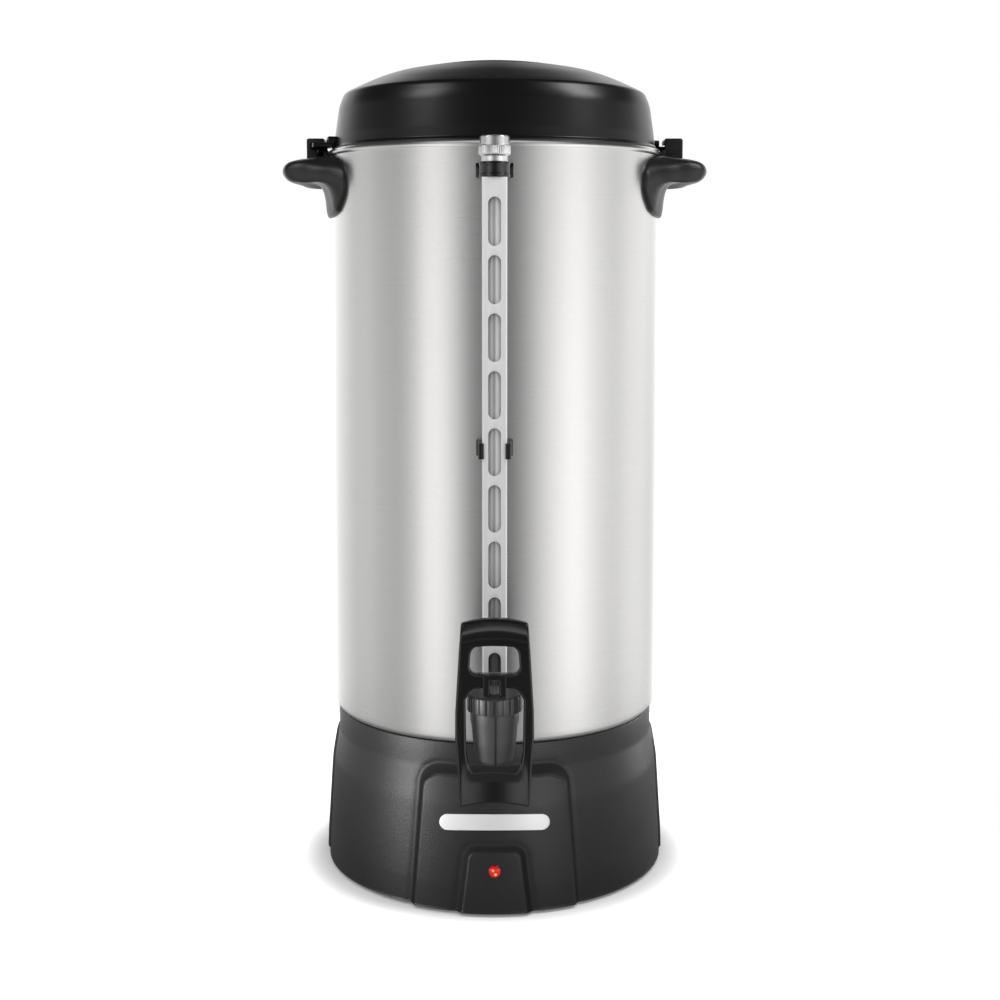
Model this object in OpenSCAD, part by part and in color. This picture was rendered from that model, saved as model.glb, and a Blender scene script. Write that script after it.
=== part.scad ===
// Coffee urn: an aluminium tank on a moulded base, a percolator brew stack inside, a twist-lock
// lid, a cup-operated faucet and a glass level gauge. Millimetres, +Z up, front towards -Y.
// The origin is on the tank's axis, in the plane that the feet stand on.

/* [Tank] */
// Outer diameter of the tank
tank_d = 228; // [215:1:240]
// Height of the tank from the underside of its floor to the rim
tank_h = 390.5; // [370:0.5:420]
// Wall thickness of the tank
tank_t = 1.2; // [0.8:0.1:1.6]
// Outer radius between the tank's wall and floor
tank_corner_r = 4; // [3:0.5:6]
// Diameter of the rolled bead round the rim
bead_d = 5.2; // [4.5:0.1:6]
// Diameter of the heating well in the tank's floor
well_d = 60; // [54:1:66]
// Depth of the heating well
well_depth = 8; // [6:0.5:10]

/* [Base] */
// Height of the ledge that carries the tank
base_h = 113.2; // [108:0.2:120]
// Step in from the tank's wall to the base's neck
neck_inset = 1.8; // [1:0.1:3]
// Height of the straight neck
neck_h = 16; // [13:0.5:19]
// How far the foot of the base stands out past the neck
base_flare = 8.2; // [6:0.1:11]
// Wall thickness of the base
base_t = 3; // [2.5:0.1:3.5]
// Gap between the base's lower edge and the table
base_clear = 2; // [1.5:0.1:3]
// Width of the ledge that the tank stands on
ledge_w = 36.2; // [32.2:0.2:40.2]

/* [Base panels] */
// Height that the front arch stands out from the base
arch_rise = 2.5; // [1.5:0.1:3.5]
// Height of the front arch
arch_h = 96; // [90:1:98]
// Width of the front arch near its top
arch_top_w = 95; // [80:1:96]
// Width of the front arch at its foot
arch_foot_w = 114; // [104:1:124]
// Height that the lamp panel stands out from the front arch
lamp_panel_rise = 3; // [2:0.1:4]
// Height of the lamp panel
lamp_panel_h = 45; // [44:1:52]
// Width of the lamp panel near its top
lamp_panel_top_w = 38; // [34:1:42]
// Width of the lamp panel at its foot
lamp_panel_foot_w = 50; // [44:1:56]
// Height that the side panels stand out from the base
side_rise = 1.8; // [1:0.1:2.5]
// Width of a side panel near its top
side_top_w = 54; // [48:1:60]
// Width of a side panel at its foot
side_foot_w = 66; // [60:1:72]
// Angle from the front to the middle of a side panel
side_angle = 100; // [96:1:106]
// Distance from the top of the front arch down to the top of a side panel
side_top_drop = 3; // [2:0.5:8]
// Height of a side panel's lower edge above the table
side_foot_z = 3; // [2.5:0.5:8]
// Corner radius of the front and side panels
panel_corner_r = 14; // [8:1:16]
// Corner radius of the lamp panel
lamp_corner_r = 8; // [5:0.5:10]
// Width of the blank badge
badge_w = 73; // [60:1:80]
// Height of the blank badge
badge_h = 10.6; // [9:0.2:14]
// Thickness of the badge
badge_t = 0.6; // [0.4:0.1:1]
// Height of the badge's middle above the table
badge_z = 62.5; // [60:0.5:68]

/* [Lid] */
// Height of the lid from the rim to the top of its dome
lid_h = 62.8; // [58:0.2:68]
// Step in from the tank's wall to the foot of the lid
lid_inset = 2.8; // [2:0.1:4]
// How far the lid's side leans in up to its shoulder
lid_taper = 5.2; // [4:0.1:7]
// Height of the lid's shoulder above the rim
shoulder_h = 37.5; // [34:0.5:40]
// Radius of the lid's shoulder
shoulder_r = 5; // [4:0.25:7]
// Wall thickness of the lid
lid_t = 2.5; // [2:0.1:3]
// Step in from the tank's wall to the lip round the foot of the lid
lip_inset = 0.4; // [0:0.1:1.4]
// Diameter of the finger well in the lid
finger_well_d = 77; // [72:1:82]
// Depth of the finger well
finger_well_depth = 22; // [19:0.5:24]
// Width of the grip bar across the finger well
grip_w = 24; // [20:0.5:28]
// Thickness of the lid's seal
seal_t = 1.1; // [0.9:0.1:1.5]
// Depth that the lid's inner skirt reaches below the rim
skirt_depth = 7.5; // [5:0.5:9]

/* [Handles and lid catches] */
// Distance from the tank's wall to the outer edge of a grip
grip_reach = 32.8; // [28:0.2:36]
// Depth of a grip from the front edge to the back edge
grip_l = 98; // [84:1:110]
// Height of a grip
grip_t = 16; // [14:0.5:18]
// Distance from the rim down to the top of a grip
grip_drop = 5.7; // [5:0.1:6.5]
// Height of a handle's flange on the tank
flange_h = 40; // [38:0.5:44]
// Width of a handle's flange round the tank
flange_w = 120; // [108:1:124]
// Thickness of a handle's flange
flange_t = 3; // [2.4:0.1:3.6]
// Length round the tank of a lid catch
catch_l = 22; // [20:0.5:25]
// Distance from the tank's wall to the inside of a lid catch
catch_gap = 4; // [3.9:0.1:5]
// Distance from the tank's wall to the outside of a lid catch
catch_reach = 17.1; // [16:0.1:19]
// Height of a lid catch above the rim
catch_h = 9.5; // [9.2:0.1:11]
// Thickness of a catch's outer wall and roof
catch_t = 4; // [3:0.1:4.5]
// Thickness of the lid's locking tongues
tongue_t = 3; // [2.4:0.1:3.4]
// Clearance round a tongue in its catch
catch_clear = 0.5; // [0.4:0.05:0.8]
// Angle that the lid turns from free to locked
lock_turn = 9.5; // [9.25:0.25:12]
// Diameter of the handle screws
handle_screw_d = 5; // [4:0.5:6]

/* [Gauge] */
// Distance from the tank's wall to the axis of the gauge
gauge_off = 12.6; // [12.4:0.1:13.4]
// Outer diameter of the gauge glass
glass_d = 10; // [9:0.2:10.4]
// Wall thickness of the gauge glass
glass_t = 1.2; // [1:0.1:1.6]
// Width of the gauge's shield
shield_w = 15.8; // [15:0.1:17]
// Distance from the gauge's axis to the front of the shield
shield_front = 8; // [7.6:0.1:8.4]
// Sheet thickness of the shield
shield_t = 0.8; // [0.6:0.1:1]
// Distance from the rim down to the top of the shield
shield_drop = 23.2; // [22:0.2:26]
// Width of the sight slots
slot_w = 8; // [6:0.2:9]
// Length of the sight slots
slot_l = 30.4; // [26:0.2:32]
// Spacing of the sight slots
slot_pitch = 36.04; // [34:0.02:40]
// Distance from the top of the shield to the first slot
slot_margin = 12.1; // [8:0.1:16]
// Height of the upper clamp
clamp_h = 9.4; // [8:0.1:11]
// Diameter of the upper clamp's ring
clamp_d = 19.5; // [19.2:0.1:21]
// Diameter of the knurled part of the gauge cap
cap_d = 20.3; // [19:0.1:22]
// Height of the gauge cap above its clamp
cap_h = 16.5; // [15:0.1:18]
// Height of the middle clip
clip_h = 10.2; // [8:0.2:12]
// Distance from the rim down to the middle clip
clip_drop = 199; // [190:1:210]

/* [Faucet] */
// Height of the faucet's shank above the tank's floor
shank_rise = 20.8; // [19:0.2:23]
// Diameter of the threaded shank
shank_d = 18; // [16:0.5:19]
// Diameter of the waterway through the shank
bore_d = 10; // [8:0.5:11]
// Distance from the gauge's axis to the spout's axis
spout_off = 36; // [35:0.5:40]
// Radius of the faucet body at its top
spout_top_r = 15.1; // [14.6:0.1:15.4]
// Radius of the spout's mouth
spout_tip_r = 7.7; // [7.2:0.1:8.4]
// Distance from the shank's axis down to the spout's mouth
spout_drop = 18; // [17:0.2:18.4]
// Diameter of the spout's outlet
outlet_d = 11; // [9:0.5:12]
// Radius of the bonnet's ribbed ring
bonnet_r = 17.2; // [16.8:0.1:17.3]
// Number of ribs round the bonnet
bonnet_ribs = 22; // [16:1:32]
// Height of the bonnet
bonnet_h = 15.5; // [14.8:0.1:16]
// Diameter of the valve stem
stem_d = 4.8; // [4.2:0.1:5.2]

/* [Lever] */
// Width of the lever at its widest
lever_w = 48.8; // [47.6:0.2:52]
// Width of the lever's foot
lever_foot_w = 41.6; // [39:0.2:44]
// Width of the lever's head
lever_head_w = 41.4; // [39:0.2:44]
// Depth of the lever's rails from front to back
lever_t = 6.5; // [5:0.1:7.5]
// Width of the lever's rails
rail_w = 6.5; // [5.6:0.1:6.6]
// Distance from the pin up to the lever's head
lever_head_rise = 42; // [38:0.5:46]
// Distance from the pin down to the lever's foot
lever_foot_drop = 76; // [74:0.5:78]
// Height of the paddle
paddle_h = 17.5; // [15:0.5:18.5]
// Width of the window above the pin
window_w = 32; // [26:0.5:34]
// Height of the window above the pin
window_h = 18.4; // [15:0.2:20]
// Radius of the paddle's hollow
paddle_r = 44; // [38:1:60]
// Radius of the lever's cams
cam_r = 8; // [7.5:0.1:8.4]
// Offset of the cams from the pin
cam_offset = 10; // [9:0.25:11]
// Diameter of the lever's pin
pin_d = 3; // [2.4:0.1:3.2]

/* [Brew stack] */
// Diameter of the pump tube
tube_d = 12; // [10:0.5:14]
// Wall thickness of the pump tube
tube_t = 1; // [0.8:0.1:1.4]
// Height of the pump tube above the rim
tube_over = 18; // [12:1:24]
// Diameter of the pump's foot
pump_foot_d = 52; // [46:1:53]
// Diameter of the basket
basket_d = 160; // [140:1:180]
// Height of the basket
basket_h = 56; // [48:1:60]
// Sheet thickness of the basket
basket_t = 1; // [0.8:0.1:1.4]
// Distance from the rim down to the basket's floor
basket_drop = 48; // [44:1:54]
// Diameter of the holes in the basket and its lid
basket_hole_d = 4; // [2:0.5:5]

/* [Heaters and wiring] */
// Mean radius of the ring heater
heater_r = 57; // [55:0.5:60]
// Diameter of the ring heater's sheath
heater_d = 8.4; // [7:0.2:9]
// Thickness of the keep-warm band
band_t = 4; // [3:0.5:5]
// Diameter of the thermostat
thermostat_d = 24; // [20:1:28]
// Height of the thermostat
thermostat_h = 9; // [7:0.5:10]
// Distance from the tank's wall in to the mounting studs
stud_inset = 28; // [26:1:31]
// Diameter of the mounting studs
stud_d = 5; // [4:0.5:6]
// Height of the power inlet's middle above the table
inlet_z = 40; // [36:1:50]
// Diameter of the wires
wire_d = 2.6; // [2:0.2:3]

/* [Foot parts] */
// Diameter of a rubber foot
foot_d = 22; // [18:1:24]
// Distance from the base's lower edge in to the middle of a foot
foot_inset = 18.4; // [18.4:0.2:22.4]
// Height of a foot
foot_h = 5.5; // [5:0.25:7]
// Thickness of the bottom cover
cover_t = 2; // [1.5:0.25:3]
// Diameter of the bottom cover's screws
cover_screw_d = 4; // [3:0.5:5]

/* [Hidden] */

// Colours
ALUMINIUM = "silver";
STEEL = "lightsteelblue";
BLACK = [0.13, 0.13, 0.13];
CHARCOAL = [0.22, 0.22, 0.22];
RUBBER = [0.3, 0.3, 0.32];
// Facets of a full turn on round parts
$fn = 64;
// Running clearance on a radius
run = 0.08;
// Clearance of parts that only pass each other
gap = 0.3;
// Overlap that makes a cut run through a face
eps = 1;
// Facets of an outline's rounded corner
CORNER_STEPS = 6;

// Tank
tank_r = tank_d / 2;
tank_in_r = tank_r - tank_t;
rim_z = base_h + tank_h;
floor_z = base_h + tank_t;
well_r = well_d / 2;
well_z = base_h - well_depth + tank_t;

// Base
neck_r = tank_r - neck_inset;
neck_z = base_h - neck_h;
foot_r = neck_r + base_flare;
foot_circle_r = foot_r - foot_inset;
ledge_r = neck_r - ledge_w;
stud_circle_r = tank_r - stud_inset;
ledge_z = base_h - base_t;
cover_z = foot_h;
boss_h = 26;
boss_d = 10;
lamp_z = 30.4;
lamp_d = 8.5;
lens_body_d = 7;
lens_body_l = 9;
lamp_l = 16;
lamp_bulb_d = 6;

// Lid
lid_z = rim_z + gap;
lip_t = 1.6;
lip_z = lid_z + seal_t;
lip_r = tank_r - lip_inset;
lid_foot_r = tank_r - lid_inset;
shoulder_z = rim_z + shoulder_h;
dome_z = rim_z + lid_h;
well_floor_z = dome_z - finger_well_depth;
finger_well_r = finger_well_d / 2;
skirt_gap = 1.2;
skirt_t = 2;
grip_screw_d = 4;
grip_screw_x = 24;

// Handles
grip_top_z = rim_z - grip_drop;
grip_out_r = tank_r + grip_reach;
grip_depth = 22;
grip_end_r = 8;
flange_z = grip_top_z - flange_h;
neck_half_w = 40;
screw_rows = [grip_top_z - 9, grip_top_z - 27];
screw_turn = 7;
washer_d = 12;
washer_t = 1;
head_h = 2.6;

// Catches
catch_in_r = tank_r + catch_gap;
catch_out_r = tank_r + catch_reach;
tongue_l = catch_l - 4;
tongue_out_r = catch_out_r - catch_t;
tongue_z = rim_z + 2.5;
tab_in_r = tank_r - 7;

// Gauge
gauge_y = -tank_r - gauge_off;
shield_top_z = rim_z - shield_drop;
clamp_z = shield_top_z;
cap_z = clamp_z + clamp_h;
glass_r = glass_d / 2;
socket_d = 17;
socket_h = 16;
seal_h = 7;
collar_h = 5;
clip_z = rim_z - clip_drop;
clip_t = 2.1;
clip_back_t = 4.2;
clip_hook = 1.5;
shield_depth = shield_front + gauge_off - clip_back_t;
gauge_screw_d = 3.5;
gauge_head_d = 6;
gauge_head_h = 2;

// Faucet
shank_z = floor_z + shank_rise - tank_t;
spout_y = gauge_y - spout_off;
spout_z = shank_z - spout_drop;
body_top_z = shank_z + 15;
seat_z = shank_z - 8;
chamber_r = 11.5;
barrel_d = 20;
barrel_y = spout_y + chamber_r - 2;
thread_r = 13.4;
thread_h = 7;
seam_rise = 0.7;
seam_w = 1.2;
seal_thick = 2;
faucet_flange_d = 32;
faucet_flange_t = 3;
flange_y = -tank_r - seal_thick;
nut_d = 28;
nut_h = 6;
bonnet_z = body_top_z - 2.5;
bonnet_top_z = bonnet_z + bonnet_h;
glass_z = shank_z + 8;
collar_z = shank_z + socket_h;
shield_foot_z = collar_z + collar_h;
glass_top_z = cap_z + 7;
cap_bore_h = 10;

// Lever
pin_z = bonnet_top_z + cam_r;
lever_back_y = spout_y - 6.5;
lever_head_z = pin_z + lever_head_rise;
lever_foot_z = pin_z - lever_foot_drop;
window_z = pin_z + 3.7;
opening_top_z = pin_z - 4.5;
widest_z = pin_z - 23;
ear_t = 4.5;
ear_gap = 0.3;
paddle_back = 3.5;
cup_r = 8;
cup_h = 7;

// Brew stack
tube_top_z = rim_z + tube_over;
basket_z = rim_z - basket_drop;
basket_r = basket_d / 2;
foot_bell_h = 14;
hub_t = 2;

// Heaters
plate_drop = 28;
reflector_z = base_h - plate_drop;
nut_t = 4;
stud_nut_d = 9;
heater_gap = 24;
heater_turn = heater_gap / heater_r * 90 / PI;
terminal_l = 28;
fuse_d = 4;
fuse_l = 12;
inlet_y = foot_r + 3.5;
inlet_w = 27;
inlet_h = 20;
inlet_l = 24;
inlet_flange_w = 50;
inlet_flange_t = 2;
inlet_screw_x = 20;

// Corner b of an outline, rounded to its radius b[2], between its neighbours a and c
function corner(a, b, c) = b[2] == 0 ? [[b[0], b[1]]] :
    let (p = [b[0], b[1]],
         u = [a[0] - b[0], a[1] - b[1]],
         v = [c[0] - b[0], c[1] - b[1]],
         uu = u / norm(u),
         vv = v / norm(v),
         half = acos(uu * vv) / 2,
         centre = p + (uu + vv) / norm(uu + vv) * b[2] / sin(half),
         start = p + uu * b[2] / tan(half) - centre,
         end = p + vv * b[2] / tan(half) - centre,
         from = atan2(start[1], start[0]),
         turn = atan2(start[0] * end[1] - start[1] * end[0], start * end))
    [for (i = [0 : CORNER_STEPS])
        centre + b[2] * [cos(from + turn * i / CORNER_STEPS), sin(from + turn * i / CORNER_STEPS)]];

// A closed outline from corners [x, y, radius]
function rounded(c) = [for (i = [0 : len(c) - 1])
    each corner(c[(i + len(c) - 1) % len(c)], c[i], c[(i + 1) % len(c)])];

// Radius of the base's outside at height z
function base_r(z) = z > neck_z ? neck_r
    : neck_r + base_flare * (neck_z - z) / (neck_z - base_clear);

// Face of the lamp panel at the lamp
lamp_face_y = -base_r(lamp_z - lamp_d / 2) - arch_rise - lamp_panel_rise;

// Points of an arc that rises by h from radius x and height z to the axis
function dome(x, z, h) = let (r = (x * x + h * h) / (2 * h))
    [for (i = [0 : 8]) let (q = x * (8 - i) / 8) [q, z + h - r + sqrt(r * r - q * q)]];

// Distance from the tank's axis at which a flat disc of radius r rests on the inside of its wall
function wall_seat(r) = sqrt(tank_in_r * tank_in_r - r * r);

// Places points in a ring, [x, y] at each of n turns of radius r
function ring(n, r, first = 0) = [for (i = [0 : n - 1])
    r * [cos(first + 360 * i / n), sin(first + 360 * i / n)]];

// A round bar of diameter d and length l that runs towards +Y
module bar_y(d, l) { rotate([-90, 0, 0]) cylinder(d = d, h = l); }

// A round bar of diameter d and length l that runs towards +X
module bar_x(d, l) { rotate([0, 90, 0]) cylinder(d = d, h = l); }

// A block centred in X and Y
module block(w, d, h) { translate([-w / 2, -d / 2, 0]) cube([w, d, h]); }

// An outline in X and Z, drawn towards -Y from y
module front_plate(points, y, t) {
    translate([0, y, 0]) rotate([90, 0, 0]) linear_extrude(t) polygon(points);
}

// An outline in Y and Z, drawn w wide about x = 0
module side_plate(points, w) {
    rotate([90, 0, 90]) translate([0, 0, -w / 2]) linear_extrude(w) polygon(points);
}

// A piece of ring from radius r1 to r2, length l round the ring's outer edge, centred on +X
module ring_piece(r1, r2, h, l) {
    turn = l / r2 * 180 / PI;
    rotate([0, 0, -turn / 2]) rotate_extrude(angle = turn, $fn = 128)
        translate([r1, 0]) square([r2 - r1, h]);
}

// A flat ring
module washer(r1, r2, h) {
    difference() {
        cylinder(r = r2, h = h);
        translate([0, 0, -eps]) cylinder(r = r1, h = h + 2 * eps);
    }
}

// The tank's outside, for whatever is shaped to fit round it
module tank_outside() { translate([0, 0, -eps]) cylinder(r = tank_r, h = rim_z + tank_h, $fn = 128); }

// ---------------------------------------------------------------- tank

module tank() color(ALUMINIUM) difference() {
    rotate_extrude($fn = 128) {
        difference() {
            union() {
                polygon(concat(
                    [[0, base_h]],
                    [for (i = [0 : CORNER_STEPS]) [tank_r - tank_corner_r, base_h + tank_corner_r]
                        + tank_corner_r * [sin(90 * i / CORNER_STEPS), -cos(90 * i / CORNER_STEPS)]],
                    [[tank_r, rim_z - bead_d / 2], [0, rim_z - bead_d / 2]]));
                translate([0, base_h - well_depth]) square([well_r, well_depth]);
                translate([tank_r - tank_t / 2, rim_z - bead_d / 2]) circle(d = bead_d, $fn = 32);
            }
            translate([0, floor_z + tank_corner_r]) square([tank_in_r, tank_h + eps]);
            translate([0, floor_z]) square([tank_in_r - tank_corner_r, tank_corner_r + eps]);
            translate([0, well_z]) square([well_r - tank_t, well_depth + eps]);
        }
    }
    translate([0, -tank_r - eps, shank_z]) bar_y(shank_d, 12);
    for (place = [0 : 1]) rotate([0, 0, 180 * place]) handle_screw_places()
        translate([tank_r - 6, 0, 0]) bar_x(handle_screw_d, 12);
    for (z = [clip_z + clip_h / 2, clamp_z + clamp_h / 2])
        translate([0, -tank_r - eps, z]) bar_y(gauge_screw_d, 6);
}

// ---------------------------------------------------------------- base

module base_solid(rise = 0) {
    rotate_extrude($fn = 128) polygon([
        [0, base_clear], [foot_r + rise, base_clear], [neck_r + rise, neck_z],
        [neck_r + rise, base_h], [0, base_h]]);
}

// A raised panel: an arch drawn from in front and laid on the base at an angle from the front
module panel(rise, foot, top, top_w, foot_w, corner_r, angle = 0) {
    intersection() {
        base_solid(rise);
        rotate([0, 0, angle]) front_plate(rounded([
            [-foot_w / 2, foot, 0], [foot_w / 2, foot, 0],
            [top_w / 2, top, corner_r], [-top_w / 2, top, corner_r]]), 0, foot_r + 20);
    }
}

module base_skirt() color(CHARCOAL) difference() {
    union() {
        difference() {
            union() {
                base_solid();
                panel(arch_rise, base_clear, base_clear + arch_h, arch_top_w, arch_foot_w,
                    panel_corner_r);
                panel(arch_rise + lamp_panel_rise, base_clear, base_clear + lamp_panel_h,
                    lamp_panel_top_w, lamp_panel_foot_w, lamp_corner_r);
                for (side = [-1, 1])
                    panel(side_rise, side_foot_z, base_clear + arch_h - side_top_drop, side_top_w,
                        side_foot_w, panel_corner_r, side * side_angle);
                inlet_pad();
            }
            rotate_extrude($fn = 128) polygon([
                [0, 0], [foot_r - base_t, 0], [foot_r - base_t, base_clear],
                [neck_r - base_t, neck_z], [neck_r - base_t, ledge_z], [0, ledge_z]]);
        }
        intersection() {
            base_solid();
            for (p = ring(4, foot_circle_r, 45)) boss(p);
        }
    }
    translate([0, 0, ledge_z - eps]) cylinder(r = ledge_r, h = base_t + 2 * eps);
    for (p = ring(3, stud_circle_r, 90)) translate([p[0], p[1], ledge_z - eps])
        cylinder(d = stud_d + 2 * gap, h = base_t + 2 * eps);
    for (p = ring(4, foot_circle_r, 45)) translate([p[0], p[1], cover_z])
        cylinder(d = cover_screw_d, h = boss_h - 6);
    translate([0, -foot_r - 20, lamp_z]) bar_y(lens_body_d, 40);
    translate([0, foot_r - 20, inlet_z - inlet_h / 2]) block(inlet_w, 60, inlet_h);
    for (side = [-1, 1]) translate([side * inlet_screw_x, inlet_y - 10, inlet_z]) bar_y(cover_screw_d, 20);
}

// A column for a bottom screw, with a web out to the wall
module boss(p) {
    translate([p[0], p[1], cover_z + cover_t]) {
        cylinder(d = boss_d, h = boss_h);
        rotate([0, 0, atan2(p[1], p[0])]) translate([0, -1.5, 0]) cube([20, 3, boss_h]);
    }
}

// The flat pad at the back for the power inlet
module inlet_pad() {
    difference() {
        translate([0, inlet_y - 14, inlet_z - 17]) block(inlet_flange_w + 6, 28, 34);
        translate([0, inlet_y + foot_r, 0]) block(2 * foot_r, 2 * foot_r, 2 * inlet_z);
    }
}

module badge_plate() color("lightgray") difference() {
    intersection() {
        base_solid(arch_rise + badge_t);
        translate([0, 0, badge_z]) rotate([90, 0, 0]) linear_extrude(foot_r + 20) {
            square([badge_w - badge_h, badge_h], center = true);
            for (side = [-1, 1]) translate([side * (badge_w - badge_h) / 2, 0]) circle(d = badge_h);
        }
    }
    base_solid(arch_rise);
}

module pilot_lens() color("red") {
    translate([0, lamp_face_y - 1.8, lamp_z]) {
        bar_y(lamp_d - 2.4, 0.8);
        translate([0, 0.8, 0]) bar_y(lamp_d, 1);
        translate([0, 1.8, 0]) bar_y(lens_body_d, lens_body_l);
    }
}

module pilot_lamp() color("orange") {
    translate([0, lamp_face_y + lens_body_l, lamp_z]) bar_y(lamp_bulb_d, lamp_l);
    for (x = [-1.5, 1.5]) translate([x, lamp_face_y + lens_body_l + lamp_l, lamp_z]) bar_y(0.8, 6);
}

module bottom_cover() color("dimgray") difference() {
    translate([0, 0, cover_z]) cylinder(r = foot_r - base_t - 0.6, h = cover_t, $fn = 128);
    for (p = ring(4, foot_circle_r, 45)) translate([p[0], p[1], 0])
        cylinder(d = cover_screw_d + gap, h = 20);
    for (i = [0 : 11]) rotate([0, 0, 30 * i]) translate([40, -2, 0]) cube([32, 4, 20]);
}

module bottom_cover_screws() color(STEEL) for (p = ring(4, foot_circle_r, 45))
    translate([p[0], p[1], 1.5]) {
        cylinder(d = cover_screw_d * 2, h = 1.8);
        cylinder(d = cover_screw_d, h = cover_z + 12);
    }

module feet() color(RUBBER) for (p = ring(4, foot_circle_r, 45)) translate([p[0], p[1], 0])
    difference() {
        cylinder(d = foot_d, h = foot_h);
        translate([0, 0, -eps]) cylinder(d = cover_screw_d * 2 + 1, h = eps + 3.3);
        cylinder(d = cover_screw_d + gap, h = foot_h + eps);
    }

// ---------------------------------------------------------------- power inlet

module power_inlet() color(BLACK) difference() {
    translate([0, 0, inlet_z]) {
        translate([0, inlet_y - inlet_l / 2, -inlet_h / 2 + gap])
            block(inlet_w - 2 * gap, inlet_l, inlet_h - 2 * gap);
        translate([0, inlet_y + inlet_flange_t / 2, -inlet_h / 2 - 3])
            block(inlet_flange_w, inlet_flange_t, inlet_h + 6);
    }
    translate([0, inlet_y - 5, inlet_z - inlet_h / 2 + 2.5]) block(inlet_w - 5, 16, inlet_h - 5);
    for (p = pin_places()) translate([p[0], inlet_y - inlet_l - eps, p[1]]) bar_y(3, 30);
    for (side = [-1, 1]) translate([side * inlet_screw_x, inlet_y - 10, inlet_z])
        bar_y(cover_screw_d, 20);
}

function pin_places() = [[-7, inlet_z - 2], [7, inlet_z - 2], [0, inlet_z + 2]];

module inlet_pins() color(STEEL) for (p = pin_places())
    translate([p[0], inlet_y - inlet_l - 7, p[1]]) bar_y(3, inlet_l + 4);

module inlet_screws() color(STEEL) for (side = [-1, 1])
    translate([side * inlet_screw_x, inlet_y, inlet_z]) {
        translate([0, inlet_flange_t, 0]) bar_y(cover_screw_d * 1.8, 1.6);
        translate([0, -8, 0]) bar_y(cover_screw_d, 8 + inlet_flange_t);
    }

// ---------------------------------------------------------------- under the tank

module mounting_studs() color(STEEL) for (p = ring(3, stud_circle_r, 90))
    translate([p[0], p[1], reflector_z - 6]) cylinder(d = stud_d, h = base_h - reflector_z + 6);

module stud_nuts() color(STEEL) for (p = ring(3, stud_circle_r, 90)) translate([p[0], p[1], 0])
    for (z = [ledge_z - nut_t, reflector_z + 1, reflector_z - nut_t])
        translate([0, 0, z]) washer(stud_d / 2, stud_nut_d / 2, nut_t);

module heat_reflector() color(ALUMINIUM) difference() {
    translate([0, 0, reflector_z]) union() {
        cylinder(r = stud_circle_r + 8, h = 1);
        washer(stud_circle_r + 7, stud_circle_r + 8, 8);
    }
    translate([0, 0, reflector_z - eps]) cylinder(r = 32, h = 3);
    for (p = ring(3, stud_circle_r, 90)) translate([p[0], p[1], reflector_z - eps])
        cylinder(d = stud_d, h = 3);
    translate([0, 45, reflector_z - eps]) block(44, 44, 3);
}

module heater_ring() color(STEEL) {
    z = base_h - heater_d / 2;
    rotate([0, 0, 90 + heater_turn]) rotate_extrude(angle = 360 - 2 * heater_turn, $fn = 96)
        translate([heater_r, z]) circle(d = heater_d, $fn = 32);
    for (side = [-1, 1]) rotate([0, 0, side * heater_turn]) translate([0, heater_r, z]) {
        sphere(d = heater_d, $fn = 32);
        translate([0, 0, -20]) cylinder(d = heater_d, h = 20);
        translate([0, 0, -terminal_l]) cylinder(d = 3, h = 9);
    }
}

module keep_warm_band() color("tan") translate([0, 0, base_h - well_depth])
    washer(well_r, well_r + band_t, well_depth);

module thermostat() color("ivory") {
    z = base_h - well_depth - thermostat_h;
    translate([0, 0, z]) cylinder(d = thermostat_d, h = thermostat_h);
    for (side = [-1, 1]) translate([side * (thermostat_d / 2 + 3), 0, z + 3]) block(8, 6, 0.8);
}

module thermostat_bracket() color(STEEL) {
    z = base_h - well_depth - thermostat_h;
    half = heater_r - heater_d / 2 - 9;
    rotate([0, 0, 90]) {
        translate([0, 0, z - 1]) block(2 * half + 2, 12, 1);
        for (side = [-1, 1]) {
            translate([side * (half + 0.5), 0, z - 1]) block(1, 12, base_h - z + 1);
            translate([side * (half + 4), 0, base_h - 1]) block(8, 12, 1);
        }
    }
}

module thermal_fuse() color(STEEL) rotate([0, 0, 215])
    translate([well_r + band_t + 9, 0, base_h - fuse_d / 2]) {
        translate([0, -fuse_l / 2, 0]) bar_y(fuse_d, fuse_l);
        translate([0, -fuse_l, 0]) bar_y(1, 2 * fuse_l);
    }

// ---------------------------------------------------------------- wires

// Point i of n along the smooth curve through the points p
function along(p, i, n) =
    let (t = i / n * (len(p) - 1),
         k = min(floor(t), len(p) - 2),
         f = t - k,
         a = p[max(k - 1, 0)],
         b = p[k],
         c = p[k + 1],
         d = p[min(k + 2, len(p) - 1)])
    0.5 * (2 * b + (c - a) * f + (2 * a - 5 * b + 4 * c - d) * f * f
        + (3 * b - a - 3 * c + d) * f * f * f);

// A tube of diameter d swept along a smooth curve through the points p, in n rings
module tube(p, d, n, sides = 8) {
    path = [for (i = [0 : n]) along(p, i, n)];
    rings = [for (i = [0 : n])
        let (step = path[min(i + 1, n)] - path[max(i - 1, 0)],
             t = step / norm(step),
             side = cross(t, abs(t[2]) > 0.9 ? [1, 0, 0] : [0, 0, 1]),
             u = side / norm(side),
             v = cross(t, u))
        for (k = [0 : sides - 1]) path[i] + d / 2 * (u * cos(360 * k / sides) + v * sin(360 * k / sides))];
    polyhedron(rings, concat(
        [[for (k = [0 : sides - 1]) k]],
        [for (i = [0 : n - 1], k = [0 : sides - 1])
            [i * sides + k, (i + 1) * sides + k, (i + 1) * sides + (k + 1) % sides,
             i * sides + (k + 1) % sides]],
        [[for (k = [sides - 1 : -1 : 0]) n * sides + k]]));
}

// Tip of one of the ring heater's two terminals
function heater_end(side) = [side * heater_r * sin(heater_turn), heater_r * cos(heater_turn),
    base_h - heater_d / 2 - terminal_l - gap];

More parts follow.
